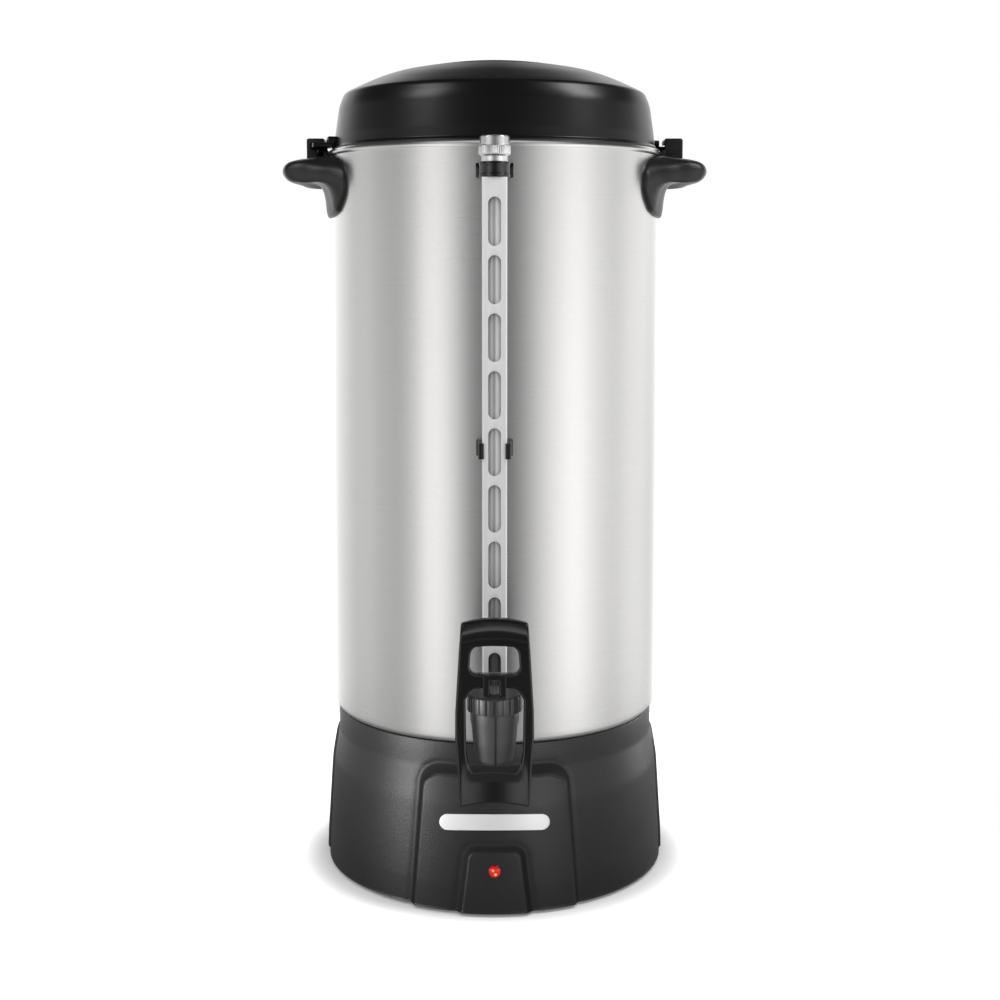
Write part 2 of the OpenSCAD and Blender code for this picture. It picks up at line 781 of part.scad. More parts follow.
// Ends of the wires
lamp_lead_y = lamp_face_y + lens_body_l + lamp_l + 6 + gap;
live_tab = [-7, inlet_y - inlet_l - 7 - gap, inlet_z - 2];
neutral_tab = [7, inlet_y - inlet_l - 7 - gap, inlet_z - 2];
heater_left = heater_end(-1);
heater_right = heater_end(1);
blade_x = thermostat_d / 2 + 7 + gap;
blade_z = base_h - well_depth - thermostat_h + 3.4;

module wire_live() color("sienna") tube([live_tab, live_tab + [0, -14, 2], [-12, 52, 62],
    [-20, 14, 80], [-blade_x - 9, 0, blade_z - 2], [-blade_x, 0, blade_z]], wire_d, 30);

module wire_neutral() color("royalblue") tube([neutral_tab, neutral_tab + [0, -14, 2],
    heater_right + [0, 4, -26], heater_right], wire_d, 24);

module wire_link() color("sienna") tube([[blade_x, 0, blade_z], [blade_x + 8, 4, blade_z - 8],
    [8, 34, 72], heater_left + [0, -2, -12], heater_left], wire_d, 24);

// The two wires from the lamp's leads to the undersides of the inlet's tabs
module wires_lamp() color("dimgray") for (side = [-1, 1])
    tube([[side * 1.5, lamp_lead_y, lamp_z], [side * 2.5, lamp_lead_y + 12, lamp_z - 2],
        [side * 22, -36, 20], [side * 28, 20, 18], [side * 14, 74, 20],
        [side * 7, live_tab[1] + 3, inlet_z - 12], [side * 7, live_tab[1] + 3, live_tab[2] - 1.5 - gap]],
        wire_d * 0.6, 36);

// ---------------------------------------------------------------- handles

// The four screw places of one handle, on +X
module handle_screw_places() {
    for (z = screw_rows, turn = [-screw_turn, screw_turn])
        rotate([0, 0, turn]) translate([0, 0, z]) children();
}

// The plan of a grip: a bar with a bowed outer edge and round ends
module grip_plan() {
    half = grip_l / 2;
    hull() {
        for (side = [-1, 1]) {
            translate([grip_out_r - 6 - grip_end_r, side * (half - grip_end_r)])
                circle(r = grip_end_r, $fn = 32);
            translate([grip_out_r - grip_depth + 4, side * (half - 5)]) circle(r = 4, $fn = 32);
        }
        translate([grip_out_r - grip_end_r, 0]) scale([1, 1.6]) circle(r = grip_end_r, $fn = 32);
    }
}

// A ledge handle on +X: a flange round the tank, a fin under the grip, and the lid's catch on top
module handle_shape() {
    difference() {
        union() {
            difference() {
                translate([0, 0, grip_top_z - grip_t]) linear_extrude(grip_t) grip_plan();
                grip_edges();
            }
            // neck from the grip in to the tank
            rotate([90, 0, 0]) translate([0, 0, -neck_half_w]) linear_extrude(2 * neck_half_w)
                polygon(neck_outline());
            // fin down the middle of the flange
            rotate([90, 0, 0]) translate([0, 0, -9]) linear_extrude(18) polygon(fin_outline());
            // flange
            intersection() {
                translate([0, 0, flange_z - eps])
                    cylinder(r = tank_r + flange_t, h = flange_h + 20, $fn = 128);
                rotate([90, 0, 90]) linear_extrude(grip_out_r) polygon(flange_outline());
            }
            catch_shape();
        }
        tank_outside();
        handle_screw_places() translate([tank_r - 8, 0, 0]) bar_x(handle_screw_d, 8 + 4);
        translate([0, 0, rim_z - bead_d - 0.6]) cylinder(r = tank_r + bead_d / 2 + 0.4, h = 40, $fn = 128);
        catch_channel();
    }
}

// Slopes the top of a grip down to its outer edge
module grip_edges() {
    translate([grip_out_r - 14, -grip_l, grip_top_z]) rotate([0, 6, 0]) cube([30, 2 * grip_l, 10]);
}

function neck_outline() = rounded([
    [tank_r - 4, rim_z - 3, 0], [catch_in_r + 1, rim_z - 3, 0], [catch_in_r + 3, grip_top_z, 0],
    [grip_out_r - grip_depth + 8, grip_top_z, 0],
    [grip_out_r - grip_depth + 8, grip_top_z - grip_t + 1, 0], [tank_r + 7, grip_top_z - grip_t - 2, 3],
    [tank_r + 4.6, grip_top_z - grip_t - 7, 0], [tank_r + 2.8, grip_top_z - grip_t - 14, 0],
    [tank_r - 4, grip_top_z - grip_t - 14, 0]]);

function fin_outline() = rounded([
    [tank_r - 4, grip_top_z - 2, 0], [grip_out_r - grip_depth + 6, grip_top_z - 2, 0],
    [grip_out_r - grip_depth + 4, grip_top_z - grip_t + 0.5, 0], [tank_r + 7.4, grip_top_z - grip_t - 4, 8],
    [tank_r + 4.5, grip_top_z - 29, 6], [tank_r + 1.6, flange_z, 0], [tank_r - 4, flange_z, 0]]);

function flange_outline() = let (
    half = [[0.83, 0, 14], [1.02, 0.42, 14], [1.01, 0.72, 12], [0.84, 1, 10], [0.6, 1.05, 0]],
    right = [for (p = half) [p[0] * flange_w / 2, flange_z + p[1] * flange_h, p[2]]],
    left = [for (i = [len(half) - 1 : -1 : 0]) [-right[i][0], right[i][1], right[i][2]]])
    rounded(concat(right, left));

// The catch is a block with a channel that is open on the inside and at one end
module catch_shape() {
    translate([0, 0, grip_top_z - 1])
        ring_piece(catch_in_r, catch_out_r, rim_z + catch_h - grip_top_z + 1, catch_l);
}

module catch_channel() {
    out_r = tongue_out_r + catch_clear;
    low = tongue_z - catch_clear;
    turn = (catch_l - tongue_l) / 2 / catch_out_r * 180 / PI;
    rotate([0, 0, turn]) {
        translate([0, 0, low])
            ring_piece(catch_in_r - 4, out_r, tongue_t + 2 * catch_clear, catch_l + 1);
        translate([0, 0, rim_z - 1.5])
            ring_piece(catch_in_r - 4, catch_in_r + 5, low - rim_z + 2, catch_l + 1);
    }
}

module handle_right() color(BLACK) handle_shape();

module handle_left() color(BLACK) rotate([0, 0, 180]) handle_shape();

module handle_screws() color(STEEL) for (side = [0 : 1]) rotate([0, 0, 180 * side])
    handle_screw_places() {
        translate([wall_seat(washer_d / 2) - washer_t - head_h, 0, 0]) bar_x(handle_screw_d * 1.8, head_h);
        translate([wall_seat(washer_d / 2) - washer_t, 0, 0])
            bar_x(handle_screw_d, tank_r + 4 - wall_seat(washer_d / 2) + washer_t);
    }

module handle_washers() color(RUBBER) for (side = [0 : 1]) rotate([0, 0, 180 * side])
    handle_screw_places() translate([wall_seat(washer_d / 2) - washer_t, 0, 0]) rotate([0, 90, 0])
        washer(handle_screw_d / 2, washer_d / 2, washer_t);

// ---------------------------------------------------------------- level gauge

module gauge_glass() color([0.8, 0.9, 0.95, 0.4]) translate([0, gauge_y, glass_z])
    washer(glass_r - glass_t, glass_r, glass_top_z - glass_z);

// The shield is a folded channel, with sight slots in its front and a back that the clip's screw holds
module gauge_shield() color(ALUMINIUM) {
    l = shield_top_z - shield_foot_z;
    slots = ceil((l - slot_margin) / slot_pitch);
    difference() {
        translate([0, gauge_y - shield_front, shield_foot_z]) {
            for (y = [shield_t / 2, shield_depth - shield_t / 2])
                translate([0, y, 0]) block(shield_w, shield_t, l);
            for (side = [-1, 1]) translate([side * (shield_w - shield_t) / 2, shield_depth / 2, 0])
                block(shield_t, shield_depth, l);
        }
        translate([0, gauge_y, clip_z + clip_h / 2]) bar_y(gauge_screw_d, gauge_off);
        for (i = [0 : slots - 1])
            translate([0, gauge_y - shield_front - eps,
                shield_top_z - slot_margin - slot_l - i * slot_pitch]) sight_slot();
    }
}

module sight_slot() rotate([-90, 0, 0]) linear_extrude(2 * eps + shield_t) {
    translate([-slot_w / 2, -slot_l + slot_w / 2]) square([slot_w, slot_l - slot_w]);
    for (z = [slot_w / 2, slot_l - slot_w / 2]) translate([0, -z]) circle(d = slot_w);
}

module gauge_collar() color(BLACK) translate([0, gauge_y, collar_z])
    washer(glass_r + gap, socket_d / 2, collar_h);

module gauge_lower_seal() color(RUBBER) translate([0, gauge_y, glass_z])
    washer(glass_r, glass_r + 2, seal_h);

module gauge_clamp() color(BLACK) difference() {
    union() {
        translate([0, gauge_y, clamp_z]) cylinder(d = clamp_d, h = clamp_h);
        translate([0, gauge_y + gauge_off / 2, clamp_z]) block(clamp_d - 3, gauge_off + 4, clamp_h);
        translate([0, -tank_r, clamp_z]) block(clamp_d + 4.5, 5, clamp_h);
    }
    tank_outside();
    translate([0, gauge_y, clamp_z - eps]) cylinder(r = glass_r + gap, h = clamp_h + 2 * eps);
    translate([0, gauge_y, clamp_z + 3]) cylinder(d = cap_d - 6 + 2 * run, h = clamp_h);
    translate([0, -tank_r - 3, clamp_z + clamp_h / 2]) bar_y(gauge_screw_d, 8);
}

module gauge_cap() color(ALUMINIUM) translate([0, gauge_y, cap_z]) difference() {
    rotate_extrude() polygon([
        [0, -clamp_h + 4], [cap_d / 2 - 3, -clamp_h + 4], [cap_d / 2 - 3, 0.1], [cap_d / 2 - 2, 0.1],
        [cap_d / 2 - 2, 3.9], [cap_d / 2 - 1, 4], [cap_d / 2, 5.4], [cap_d / 2, cap_h - 6.4],
        [cap_d / 2 - 0.9, cap_h - 6.2], [cap_d / 2 - 0.9, cap_h - 1.2], [cap_d / 2 - 2, cap_h],
        [0, cap_h]]);
    translate([0, 0, -clamp_h]) cylinder(r = glass_r + 0.1, h = clamp_h + cap_bore_h);
}

module gauge_cap_seal() color(RUBBER) translate([0, gauge_y, glass_top_z])
    washer(glass_r - glass_t, glass_r, cap_z + cap_bore_h - glass_top_z);

module gauge_clip() color(BLACK) difference() {
    translate([0, -tank_r, clip_z]) {
        translate([0, -clip_back_t / 2 + 1, 0]) block(shield_w + 2 * clip_t + 4, clip_back_t + 2, clip_h);
        for (side = [-1, 1]) {
            arm_l = gauge_off + shield_front + 1.4;
            translate([side * (shield_w / 2 + gap + clip_t / 2), -arm_l / 2, 0])
                block(clip_t, arm_l, clip_h);
            translate([side * (shield_w / 2 + gap + clip_t / 2 - clip_hook / 2), -arm_l + 0.55, 0])
                block(clip_t + clip_hook, 1.1, clip_h);
        }
    }
    tank_outside();
    translate([0, -tank_r - 6, clip_z + clip_h / 2]) bar_y(gauge_screw_d, 12);
}

// One screw holds the clip from in front, the other holds the clamp from inside the tank
module gauge_screws() color(STEEL) {
    translate([0, -tank_r, clip_z + clip_h / 2]) {
        translate([0, -clip_back_t - shield_t - gauge_head_h, 0]) bar_y(gauge_head_d, gauge_head_h);
        translate([0, -clip_back_t - shield_t, 0]) bar_y(gauge_screw_d, clip_back_t + shield_t + 6);
    }
    translate([0, -wall_seat(gauge_head_d / 2), clamp_z + clamp_h / 2]) {
        bar_y(gauge_head_d, gauge_head_h);
        translate([0, -tank_t - 3, 0]) bar_y(gauge_screw_d, tank_t + 3);
    }
}

module gauge_nuts() color(STEEL)
    translate([0, -wall_seat(gauge_head_d / 2), clip_z + clip_h / 2]) rotate([-90, 0, 0])
        washer(gauge_screw_d / 2, gauge_head_d / 2, 3);

// ---------------------------------------------------------------- faucet

module faucet_body() color(CHARCOAL) difference() {
    union() {
        translate([0, spout_y, 0]) rotate_extrude() polygon([
            [0, spout_z], [spout_tip_r - 1, spout_z], [spout_tip_r, spout_z + 1],
            [spout_tip_r + 3.2, spout_z + 6], [spout_top_r - 1.9, shank_z], [spout_top_r, body_top_z],
            [thread_r, body_top_z], [thread_r, body_top_z + thread_h], [0, body_top_z + thread_h]]);
        translate([0, spout_y, 0]) side_plate([
            [-spout_top_r - seam_rise / 2, bonnet_z - gap], [-spout_top_r + 1.9 - seam_rise, shank_z],
            [-spout_tip_r - 3.2 - seam_rise, spout_z + 6], [-spout_tip_r - seam_rise, spout_z + 1.5],
            [0, spout_z + 1.5], [0, bonnet_z - gap]], seam_w);
        translate([0, barrel_y, shank_z]) bar_y(barrel_d, flange_y - barrel_y);
        translate([0, gauge_y, shank_z]) cylinder(d = socket_d, h = socket_h);
        translate([0, flange_y - faucet_flange_t, shank_z]) bar_y(faucet_flange_d, faucet_flange_t);
        translate([0, flange_y, shank_z]) bar_y(shank_d, seal_thick + nut_h + 8);
    }
    translate([0, spout_y, seat_z]) cylinder(r = chamber_r, h = 60);
    translate([0, spout_y, spout_z - eps]) cylinder(d = outlet_d, h = 20);
    translate([0, spout_y, shank_z]) bar_y(bore_d, 100);
    translate([0, gauge_y, shank_z]) cylinder(r = glass_r - glass_t, h = socket_h + eps);
    translate([0, gauge_y, glass_z]) cylinder(r = glass_r + 2, h = socket_h);
}

module faucet_seal_outer() color(RUBBER) difference() {
    translate([0, flange_y, shank_z]) bar_y(faucet_flange_d - 2, seal_thick + 4);
    tank_outside();
    translate([0, flange_y - eps, shank_z]) bar_y(shank_d, 20);
}

module faucet_seal_inner() color(RUBBER) difference() {
    translate([0, -tank_in_r - 1, shank_z]) bar_y(nut_d, 6 + 1 - 2.4);
    difference() {
        translate([0, 0, shank_z - 30]) cylinder(r = tank_r + 10, h = 60);
        translate([0, 0, shank_z - 30]) cylinder(r = tank_in_r, h = 60, $fn = 128);
    }
    translate([0, -tank_in_r - 2, shank_z]) bar_y(shank_d, 20);
}

module faucet_nut() color(STEEL) difference() {
    translate([0, -tank_in_r + 3.6, shank_z]) bar_y(nut_d - 2, nut_h);
    translate([0, -tank_in_r, shank_z]) bar_y(shank_d, 20);
}

module bonnet() color(BLACK) translate([0, spout_y, bonnet_z]) difference() {
    union() {
        cylinder(r = bonnet_r - 0.7, h = bonnet_h - 4);
        for (i = [0 : bonnet_ribs - 1]) rotate([0, 0, 360 * i / bonnet_ribs])
            translate([bonnet_r - 2, -0.8, 0.4]) cube([2, 1.6, bonnet_h - 4.8]);
        translate([0, 0, bonnet_h - 4]) rotate_extrude()
            polygon([[0, 0], [bonnet_r - 0.7, 0], [12.6, 4], [0, 4]]);
    }
    translate([0, 0, -eps]) cylinder(r = spout_top_r + 0.15, h = body_top_z - bonnet_z + eps);
    translate([0, 0, -eps]) cylinder(r = thread_r, h = body_top_z - bonnet_z + thread_h + eps);
    cylinder(d = stem_d + 2 * run, h = 40);
}

module valve_stem() color("gray") difference() {
    translate([0, spout_y, 0]) union() {
        translate([0, 0, seat_z + 2]) cylinder(d = stem_d, h = pin_z + 3.6 - seat_z - 2);
        translate([0, 0, seat_z + 2 + cup_h]) cylinder(r = cup_r - 1, h = 1.2);
    }
    translate([-5, spout_y, pin_z]) bar_x(pin_d + 2 * run, 10);
}

module valve_seat_cup() color(RUBBER) translate([0, spout_y, seat_z + 0.05]) difference() {
    cylinder(r = cup_r, h = cup_h + 1.95);
    translate([0, 0, 1.95]) cylinder(d = stem_d, h = cup_h + 1);
}

module valve_spring() color(STEEL) {
    low = seat_z + 2 + cup_h + 1.2 + 0.6;
    high = body_top_z + thread_h - 0.6;
    turns = 4;
    steps = 16 * turns;
    translate([0, spout_y, 0]) tube([for (i = [0 : steps])
        [5.2 * cos(360 * i * turns / steps), 5.2 * sin(360 * i * turns / steps),
         low + (high - low) * i / steps]], 1, 2 * steps, 6);
}

// ---------------------------------------------------------------- lever

function lever_outline() = rounded([
    [-lever_foot_w / 2, lever_foot_z, 2], [lever_foot_w / 2, lever_foot_z, 2],
    [lever_w / 2, widest_z - 10, 40], [lever_w / 2, widest_z + 6, 40],
    [lever_head_w / 2, lever_head_z, 3], [-lever_head_w / 2, lever_head_z, 3],
    [-lever_w / 2, widest_z + 6, 40], [-lever_w / 2, widest_z - 10, 40]]);

function opening_outline() = let (w = lever_w / 2 - rail_w, foot = lever_foot_z + paddle_h) rounded([
    [-w + 1.6, foot, 4], [w - 1.6, foot, 4], [w, foot + 14, 0], [w, opening_top_z - 6, 0],
    [w - 1.5, opening_top_z, 7], [-w + 1.5, opening_top_z, 7], [-w, opening_top_z - 6, 0],
    [-w, foot + 14, 0]]);

function window_outline() = rounded([
    [-window_w / 2, window_z, 4], [window_w / 2, window_z, 4],
    [window_w / 2 - 0.8, window_z + window_h, 5], [-window_w / 2 + 0.8, window_z + window_h, 5]]);

// Section of the head, which curls towards the front
function head_section() = let (y = lever_back_y, z = window_z + window_h) rounded([
    [y, z, 0], [y, z + 6, 8], [y - 6, lever_head_z, 3], [y - 14, lever_head_z, 2],
    [y - 13, lever_head_z - 7, 3], [y - lever_t, z, 0]]);

module lever() color(BLACK) difference() {
    union() {
        difference() {
            front_plate(lever_outline(), lever_back_y, lever_t);
            front_plate(opening_outline(), lever_back_y + eps, lever_t + 2 * eps);
            front_plate(window_outline(), lever_back_y + eps, lever_t + 2 * eps);
            translate([0, lever_back_y - lever_t - 20, window_z + window_h + 1]) block(100, 60, 60);
        }
        intersection() {
            front_plate(lever_outline(), lever_back_y + paddle_back, lever_t + paddle_back);
            translate([0, spout_y, lever_foot_z - eps]) block(100, 60, paddle_h + eps);
        }
        intersection() {
            side_plate(head_section(), lever_w);
            front_plate(lever_outline(), lever_back_y + 10, 60);
        }
        for (side = [-1, 1]) translate([side * (stem_d / 2 + ear_gap + ear_t / 2), 0, 0]) lever_ear();
    }
    translate([0, lever_back_y - lever_t + 5.2 - paddle_r, lever_foot_z - eps])
        cylinder(r = paddle_r, h = paddle_h + 3 * eps, $fn = 128);
    translate([-20, spout_y, pin_z]) bar_x(pin_d, 40);
    translate([0, lever_back_y, opening_top_z - 4])
        block(stem_d + 2 * ear_gap, 2 * lever_t + 4, pin_z + 2.2 - opening_top_z + 4);
}

// An ear carries the pin behind and ends below in a round cam that bears on the bonnet
module lever_ear() {
    intersection() {
        translate([-ear_t / 2, 0, 0]) union() {
            translate([0, spout_y - cam_offset, pin_z]) bar_x(2 * cam_r - 0.1, ear_t);
            translate([0, spout_y, pin_z]) bar_x(8, ear_t);
            translate([0, spout_y - cam_offset, pin_z - 4]) cube([ear_t, cam_offset, 8]);
        }
        translate([-ear_t, lever_back_y - lever_t - 1, pin_z - 20]) cube([2 * ear_t, 40, 20 + 3.7]);
    }
}

module lever_pin() color(STEEL) {
    l = stem_d + 2 * ear_gap + 2 * ear_t;
    translate([-l / 2, spout_y, pin_z]) bar_x(pin_d, l);
}

// ---------------------------------------------------------------- brew stack

module pump_tube() color(ALUMINIUM) {
    difference() {
        union() {
            translate([0, 0, well_z + foot_bell_h - eps])
                cylinder(d = tube_d, h = tube_top_z - well_z - foot_bell_h + eps);
            translate([0, 0, basket_z - hub_t]) cylinder(d = tube_d + 8, h = hub_t);
            translate([0, 0, well_z]) rotate_extrude() polygon([
                [0, 0], [pump_foot_d / 2, 0], [pump_foot_d / 2, 4],
                [tube_d / 2 + 1, foot_bell_h], [0, foot_bell_h]]);
        }
        translate([0, 0, well_z - eps]) cylinder(d = tube_d - 2 * tube_t, h = tube_top_z);
        translate([0, 0, well_z - eps]) rotate_extrude() polygon([
            [0, 0], [pump_foot_d / 2 - 1, 0], [pump_foot_d / 2 - 1, 4], [tube_d / 2, foot_bell_h],
            [0, foot_bell_h]]);
        for (i = [0 : 5]) rotate([0, 0, 60 * i]) translate([pump_foot_d / 2 - 4, -4, well_z - eps])
            cube([8, 8, 3]);
    }
}

module basket() color(ALUMINIUM) difference() {
    translate([0, 0, basket_z]) cylinder(r = basket_r, h = basket_h, $fn = 96);
    difference() {
        translate([0, 0, basket_z + basket_t]) cylinder(r = basket_r - basket_t, h = basket_h, $fn = 96);
        translate([0, 0, basket_z]) cylinder(d = tube_d + 4, h = basket_h);
    }
    translate([0, 0, basket_z - eps]) cylinder(d = tube_d + 2 * run, h = basket_h + 2 * eps);
    for (r = [basket_r * 0.35, basket_r * 0.6, basket_r * 0.85], p = ring(12, r))
        translate([p[0], p[1], basket_z - eps]) cylinder(d = basket_hole_d, h = 3, $fn = 16);
}

module basket_lid() color(ALUMINIUM) difference() {
    translate([0, 0, basket_z + basket_h]) union() {
        cylinder(r = basket_r + 1.5, h = basket_t, $fn = 96);
        washer(basket_r - basket_t, basket_r + 1.5, 3);
    }
    translate([0, 0, basket_z]) cylinder(d = tube_d + 2 * run, h = basket_h + 10);
    for (r = [basket_r * 0.35, basket_r * 0.6, basket_r * 0.85], p = ring(12, r, 15))
        translate([p[0], p[1], basket_z + basket_h - eps]) cylinder(d = basket_hole_d, h = 3, $fn = 16);
}

module pump_washer() color(STEEL) translate([0, 0, well_z])
    washer(tube_d / 2 - tube_t, pump_foot_d / 2 - 6, 1.2);

// ---------------------------------------------------------------- lid

// The lid's outline, shrunk by an inset; the lower end is at z
function lid_profile(inset, z) = let (
    foot = lid_foot_r - inset,
    side = lid_foot_r - lid_taper - inset,
    top = dome_z - inset,
    edge = side - shoulder_r * 0.75,
    edge_z = shoulder_z + shoulder_r * 0.8 - inset)
    concat([[0, z], [foot, z], [foot, lip_z + 4],
        [side + lid_taper * 0.55, lip_z + (shoulder_z - lip_z) * 0.55]],
        [for (i = [0 : CORNER_STEPS]) let (q = 70 * i / CORNER_STEPS)
            [side - shoulder_r * (1 - cos(q)),
             shoulder_z - inset - shoulder_r * 0.1 + shoulder_r * sin(q)]],
        dome(side - shoulder_r * (1 - cos(70)) - 2, edge_z + 0.9, top - edge_z - 0.9));

module lid_shell() color(BLACK) difference() {
    union() {
        difference() {
            union() {
                rotate_extrude($fn = 128) polygon(lid_profile(0, lip_z));
                translate([0, 0, lip_z]) cylinder(r = lip_r, h = lip_t, $fn = 128);
            }
            difference() {
                rotate_extrude($fn = 128) polygon(lid_profile(lid_t, lip_z - eps));
                translate([0, 0, well_floor_z - lid_t]) cylinder(r = finger_well_r + lid_t, h = 60);
            }
            translate([0, 0, well_floor_z]) cylinder(r = finger_well_r, h = 60);
        }
        // inner skirt
        translate([0, 0, rim_z - skirt_depth])
            washer(tank_in_r - skirt_gap - skirt_t, tank_in_r - skirt_gap, lip_z + 1 - rim_z + skirt_depth);
        translate([0, 0, lip_z]) washer(tank_in_r - skirt_gap - skirt_t, lid_foot_r - 1, lip_t);
        for (side = [0 : 1]) rotate([0, 0, 180 * side + lock_turn]) lug();
    }
    for (side = [-1, 1]) translate([side * grip_screw_x, 0, well_floor_z - 20])
        cylinder(d = grip_screw_d + gap, h = 30);
}

// A lug of the lid: a tab on the foot and a tongue that turns into the catch
module lug() {
    translate([0, 0, lip_z]) ring_piece(tab_in_r, catch_in_r - 1, catch_h - gap - seal_t, tongue_l);
    translate([0, 0, tongue_z]) ring_piece(tab_in_r, tongue_out_r, tongue_t, tongue_l);
}

module lid_grip() color(BLACK) difference() {
    intersection() {
        translate([0, 0, well_floor_z]) cylinder(r = finger_well_r, h = 60);
        block(finger_well_d + 2, grip_w, dome_z + 10);
        rotate_extrude($fn = 128) polygon(lid_profile(0, lip_z));
    }
    for (side = [-1, 1]) translate([side * grip_screw_x, 0, well_floor_z - eps])
        cylinder(d = grip_screw_d, h = 12 + eps);
}

module lid_grip_screws() color(STEEL) for (side = [-1, 1])
    translate([side * grip_screw_x, 0, well_floor_z - lid_t]) {
        translate([0, 0, -2.2]) cylinder(d = grip_screw_d * 2, h = 2.2);
        cylinder(d = grip_screw_d, h = lid_t + 11.9);
    }

module lid_seal() color(RUBBER) translate([0, 0, lid_z])
    washer(tank_in_r - skirt_gap + gap, lip_r, seal_t);

tank();
base_skirt();
badge_plate();
pilot_lens();
pilot_lamp();
bottom_cover();
bottom_cover_screws();
feet();
power_inlet();
inlet_pins();
inlet_screws();
mounting_studs();
stud_nuts();
heat_reflector();
heater_ring();
keep_warm_band();
thermostat();
thermostat_bracket();
thermal_fuse();
wire_live();
wire_neutral();
wire_link();
wires_lamp();
handle_left();
handle_right();
handle_screws();
handle_washers();
gauge_glass();
gauge_shield();
gauge_collar();
gauge_lower_seal();
gauge_clamp();
gauge_cap();
gauge_cap_seal();
gauge_clip();
gauge_screws();
gauge_nuts();
faucet_body();
faucet_seal_outer();
faucet_seal_inner();
faucet_nut();
bonnet();
valve_stem();
valve_seat_cup();
valve_spring();
lever();
lever_pin();
pump_tube();
basket();
basket_lid();
pump_washer();
lid_seal();
lid_shell();
lid_grip();
lid_grip_screws();
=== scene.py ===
"""Looks of a coffee urn: brushed aluminium tank, moulded base and lid, cup faucet and level gauge.
Meshes are drawn in millimetres in the urn's own frame (front towards -Y) and scaled as they are made."""

import math

import bmesh
import bpy
import numpy as np
from mathutils import Matrix, Vector


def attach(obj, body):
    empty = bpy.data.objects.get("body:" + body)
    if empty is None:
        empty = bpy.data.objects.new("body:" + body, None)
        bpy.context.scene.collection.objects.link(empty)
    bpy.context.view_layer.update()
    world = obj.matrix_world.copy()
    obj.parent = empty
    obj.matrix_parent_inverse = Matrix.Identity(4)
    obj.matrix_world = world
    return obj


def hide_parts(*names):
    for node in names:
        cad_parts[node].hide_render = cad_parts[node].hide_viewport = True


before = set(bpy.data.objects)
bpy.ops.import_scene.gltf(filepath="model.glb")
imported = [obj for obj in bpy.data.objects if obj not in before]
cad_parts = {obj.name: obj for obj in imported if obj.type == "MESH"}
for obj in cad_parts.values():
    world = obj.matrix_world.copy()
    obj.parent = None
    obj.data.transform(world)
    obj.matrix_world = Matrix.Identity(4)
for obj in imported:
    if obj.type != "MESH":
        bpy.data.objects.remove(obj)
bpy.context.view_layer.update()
scene = bpy.context.scene
MM = 0.001


# -------------------- camera, light and table
# One long lens in front of the urn, level with the upper part of its tank and pitched down a
# little. The urn stands on a white table in a studio that its metal mirrors.

CAMERA_BACK = 1.120
CAMERA_UP = 0.429
CAMERA_PITCH = 6.41
LENS = 56.77
SENSOR = 36
SHIFT_X = 0.0054
SHIFT_Y = -0.0622
camera = bpy.data.objects.new("camera", bpy.data.cameras.new("camera"))
camera.data.sensor_width = SENSOR
camera.data.lens = LENS
camera.data.shift_x = SHIFT_X
camera.data.shift_y = SHIFT_Y
camera.location = (0, -CAMERA_BACK, CAMERA_UP)
camera.rotation_euler = (math.radians(90 - CAMERA_PITCH), 0, 0)
scene.collection.objects.link(camera)
scene.camera = camera
scene.view_settings.view_transform = "Standard"


class Value:
    """A number on a wire. Python's operators on it add Math nodes."""

    def __init__(self, nodes, socket):
        self.nodes, self.socket = nodes, socket

    def math(self, operation, a, b=None):
        inputs = {0: a} if b is None else {0: a, 1: b}
        return self.nodes.node("ShaderNodeMath", {"operation": operation}, inputs).out(0)

    def __add__(self, other):
        return self.math("ADD", self, other)

    __radd__ = __add__

    def __mul__(self, other):
        return self.math("MULTIPLY", self, other)

    __rmul__ = __mul__

    def __sub__(self, other):
        return self.math("SUBTRACT", self, other)

    def __rsub__(self, other):
        return self.math("SUBTRACT", other, self)

    def __truediv__(self, other):
        return self.math("DIVIDE", self, other)

    def __pow__(self, other):
        return self.math("POWER", self, other)

    def at_least(self, other):
        return self.math("MAXIMUM", self, other)

    def at_most(self, other):
        return self.math("MINIMUM", self, other)

    def absolute(self):
        return self.math("ABSOLUTE", self)

    def rise(self, low, high):
        """0 below low, 1 above high, and a soft step between."""
        return self.nodes.node("ShaderNodeMapRange", {"interpolation_type": "SMOOTHSTEP"},
                               {"Value": self, "From Min": low, "From Max": high}).out(0)


class Made:
    """A node just added; out() takes one of its outputs."""

    def __init__(self, nodes, node):
        self.nodes, self.node = nodes, node

    def out(self, name):
        return Value(self.nodes, self.node.outputs[name])


class Nodes:
    """A node tree that is filled by one method."""

    def __init__(self, tree):
        self.tree = tree

    def node(self, kind, settings=None, inputs=None):
        made = self.tree.nodes.new(kind)
        for name, value in (settings or {}).items():
            if name == "stops":
                ramp = made.color_ramp.elements
                while len(ramp) < len(value):
                    ramp.new(1.0)
                for stop, (place, colour) in zip(ramp, sorted(value)):
                    stop.position, stop.color = place, colour
            elif name == "ramp":
                made.color_ramp.interpolation = value
            else:
                setattr(made, name, value)
        for name, value in (inputs or {}).items():
            self.join(value, made.inputs[name])
        return Made(self, made)

    def join(self, value, socket):
        if isinstance(value, Value):
            self.tree.links.new(value.socket, socket)
        else:
            socket.default_value = value

    def split(self, vector):
        """A vector's x, y and z."""
        made = self.node("ShaderNodeSeparateXYZ", {}, {0: vector})
        return [made.out(axis) for axis in range(3)]

    def mix(self, share, a, b):
        """Colour a where share is 0, colour b where it is 1."""
        made = self.node("ShaderNodeMix", {"data_type": "RGBA"})
        for value, place in ((share, 0), (a, 6), (b, 7)):
            self.join(value, made.node.inputs[place])
        return made.out(2)


def grey(level, warmth=0.0):
    """An opaque grey, a little warm or cold."""
    return (level * (1 + warmth), level, level * (1 - warmth), 1)


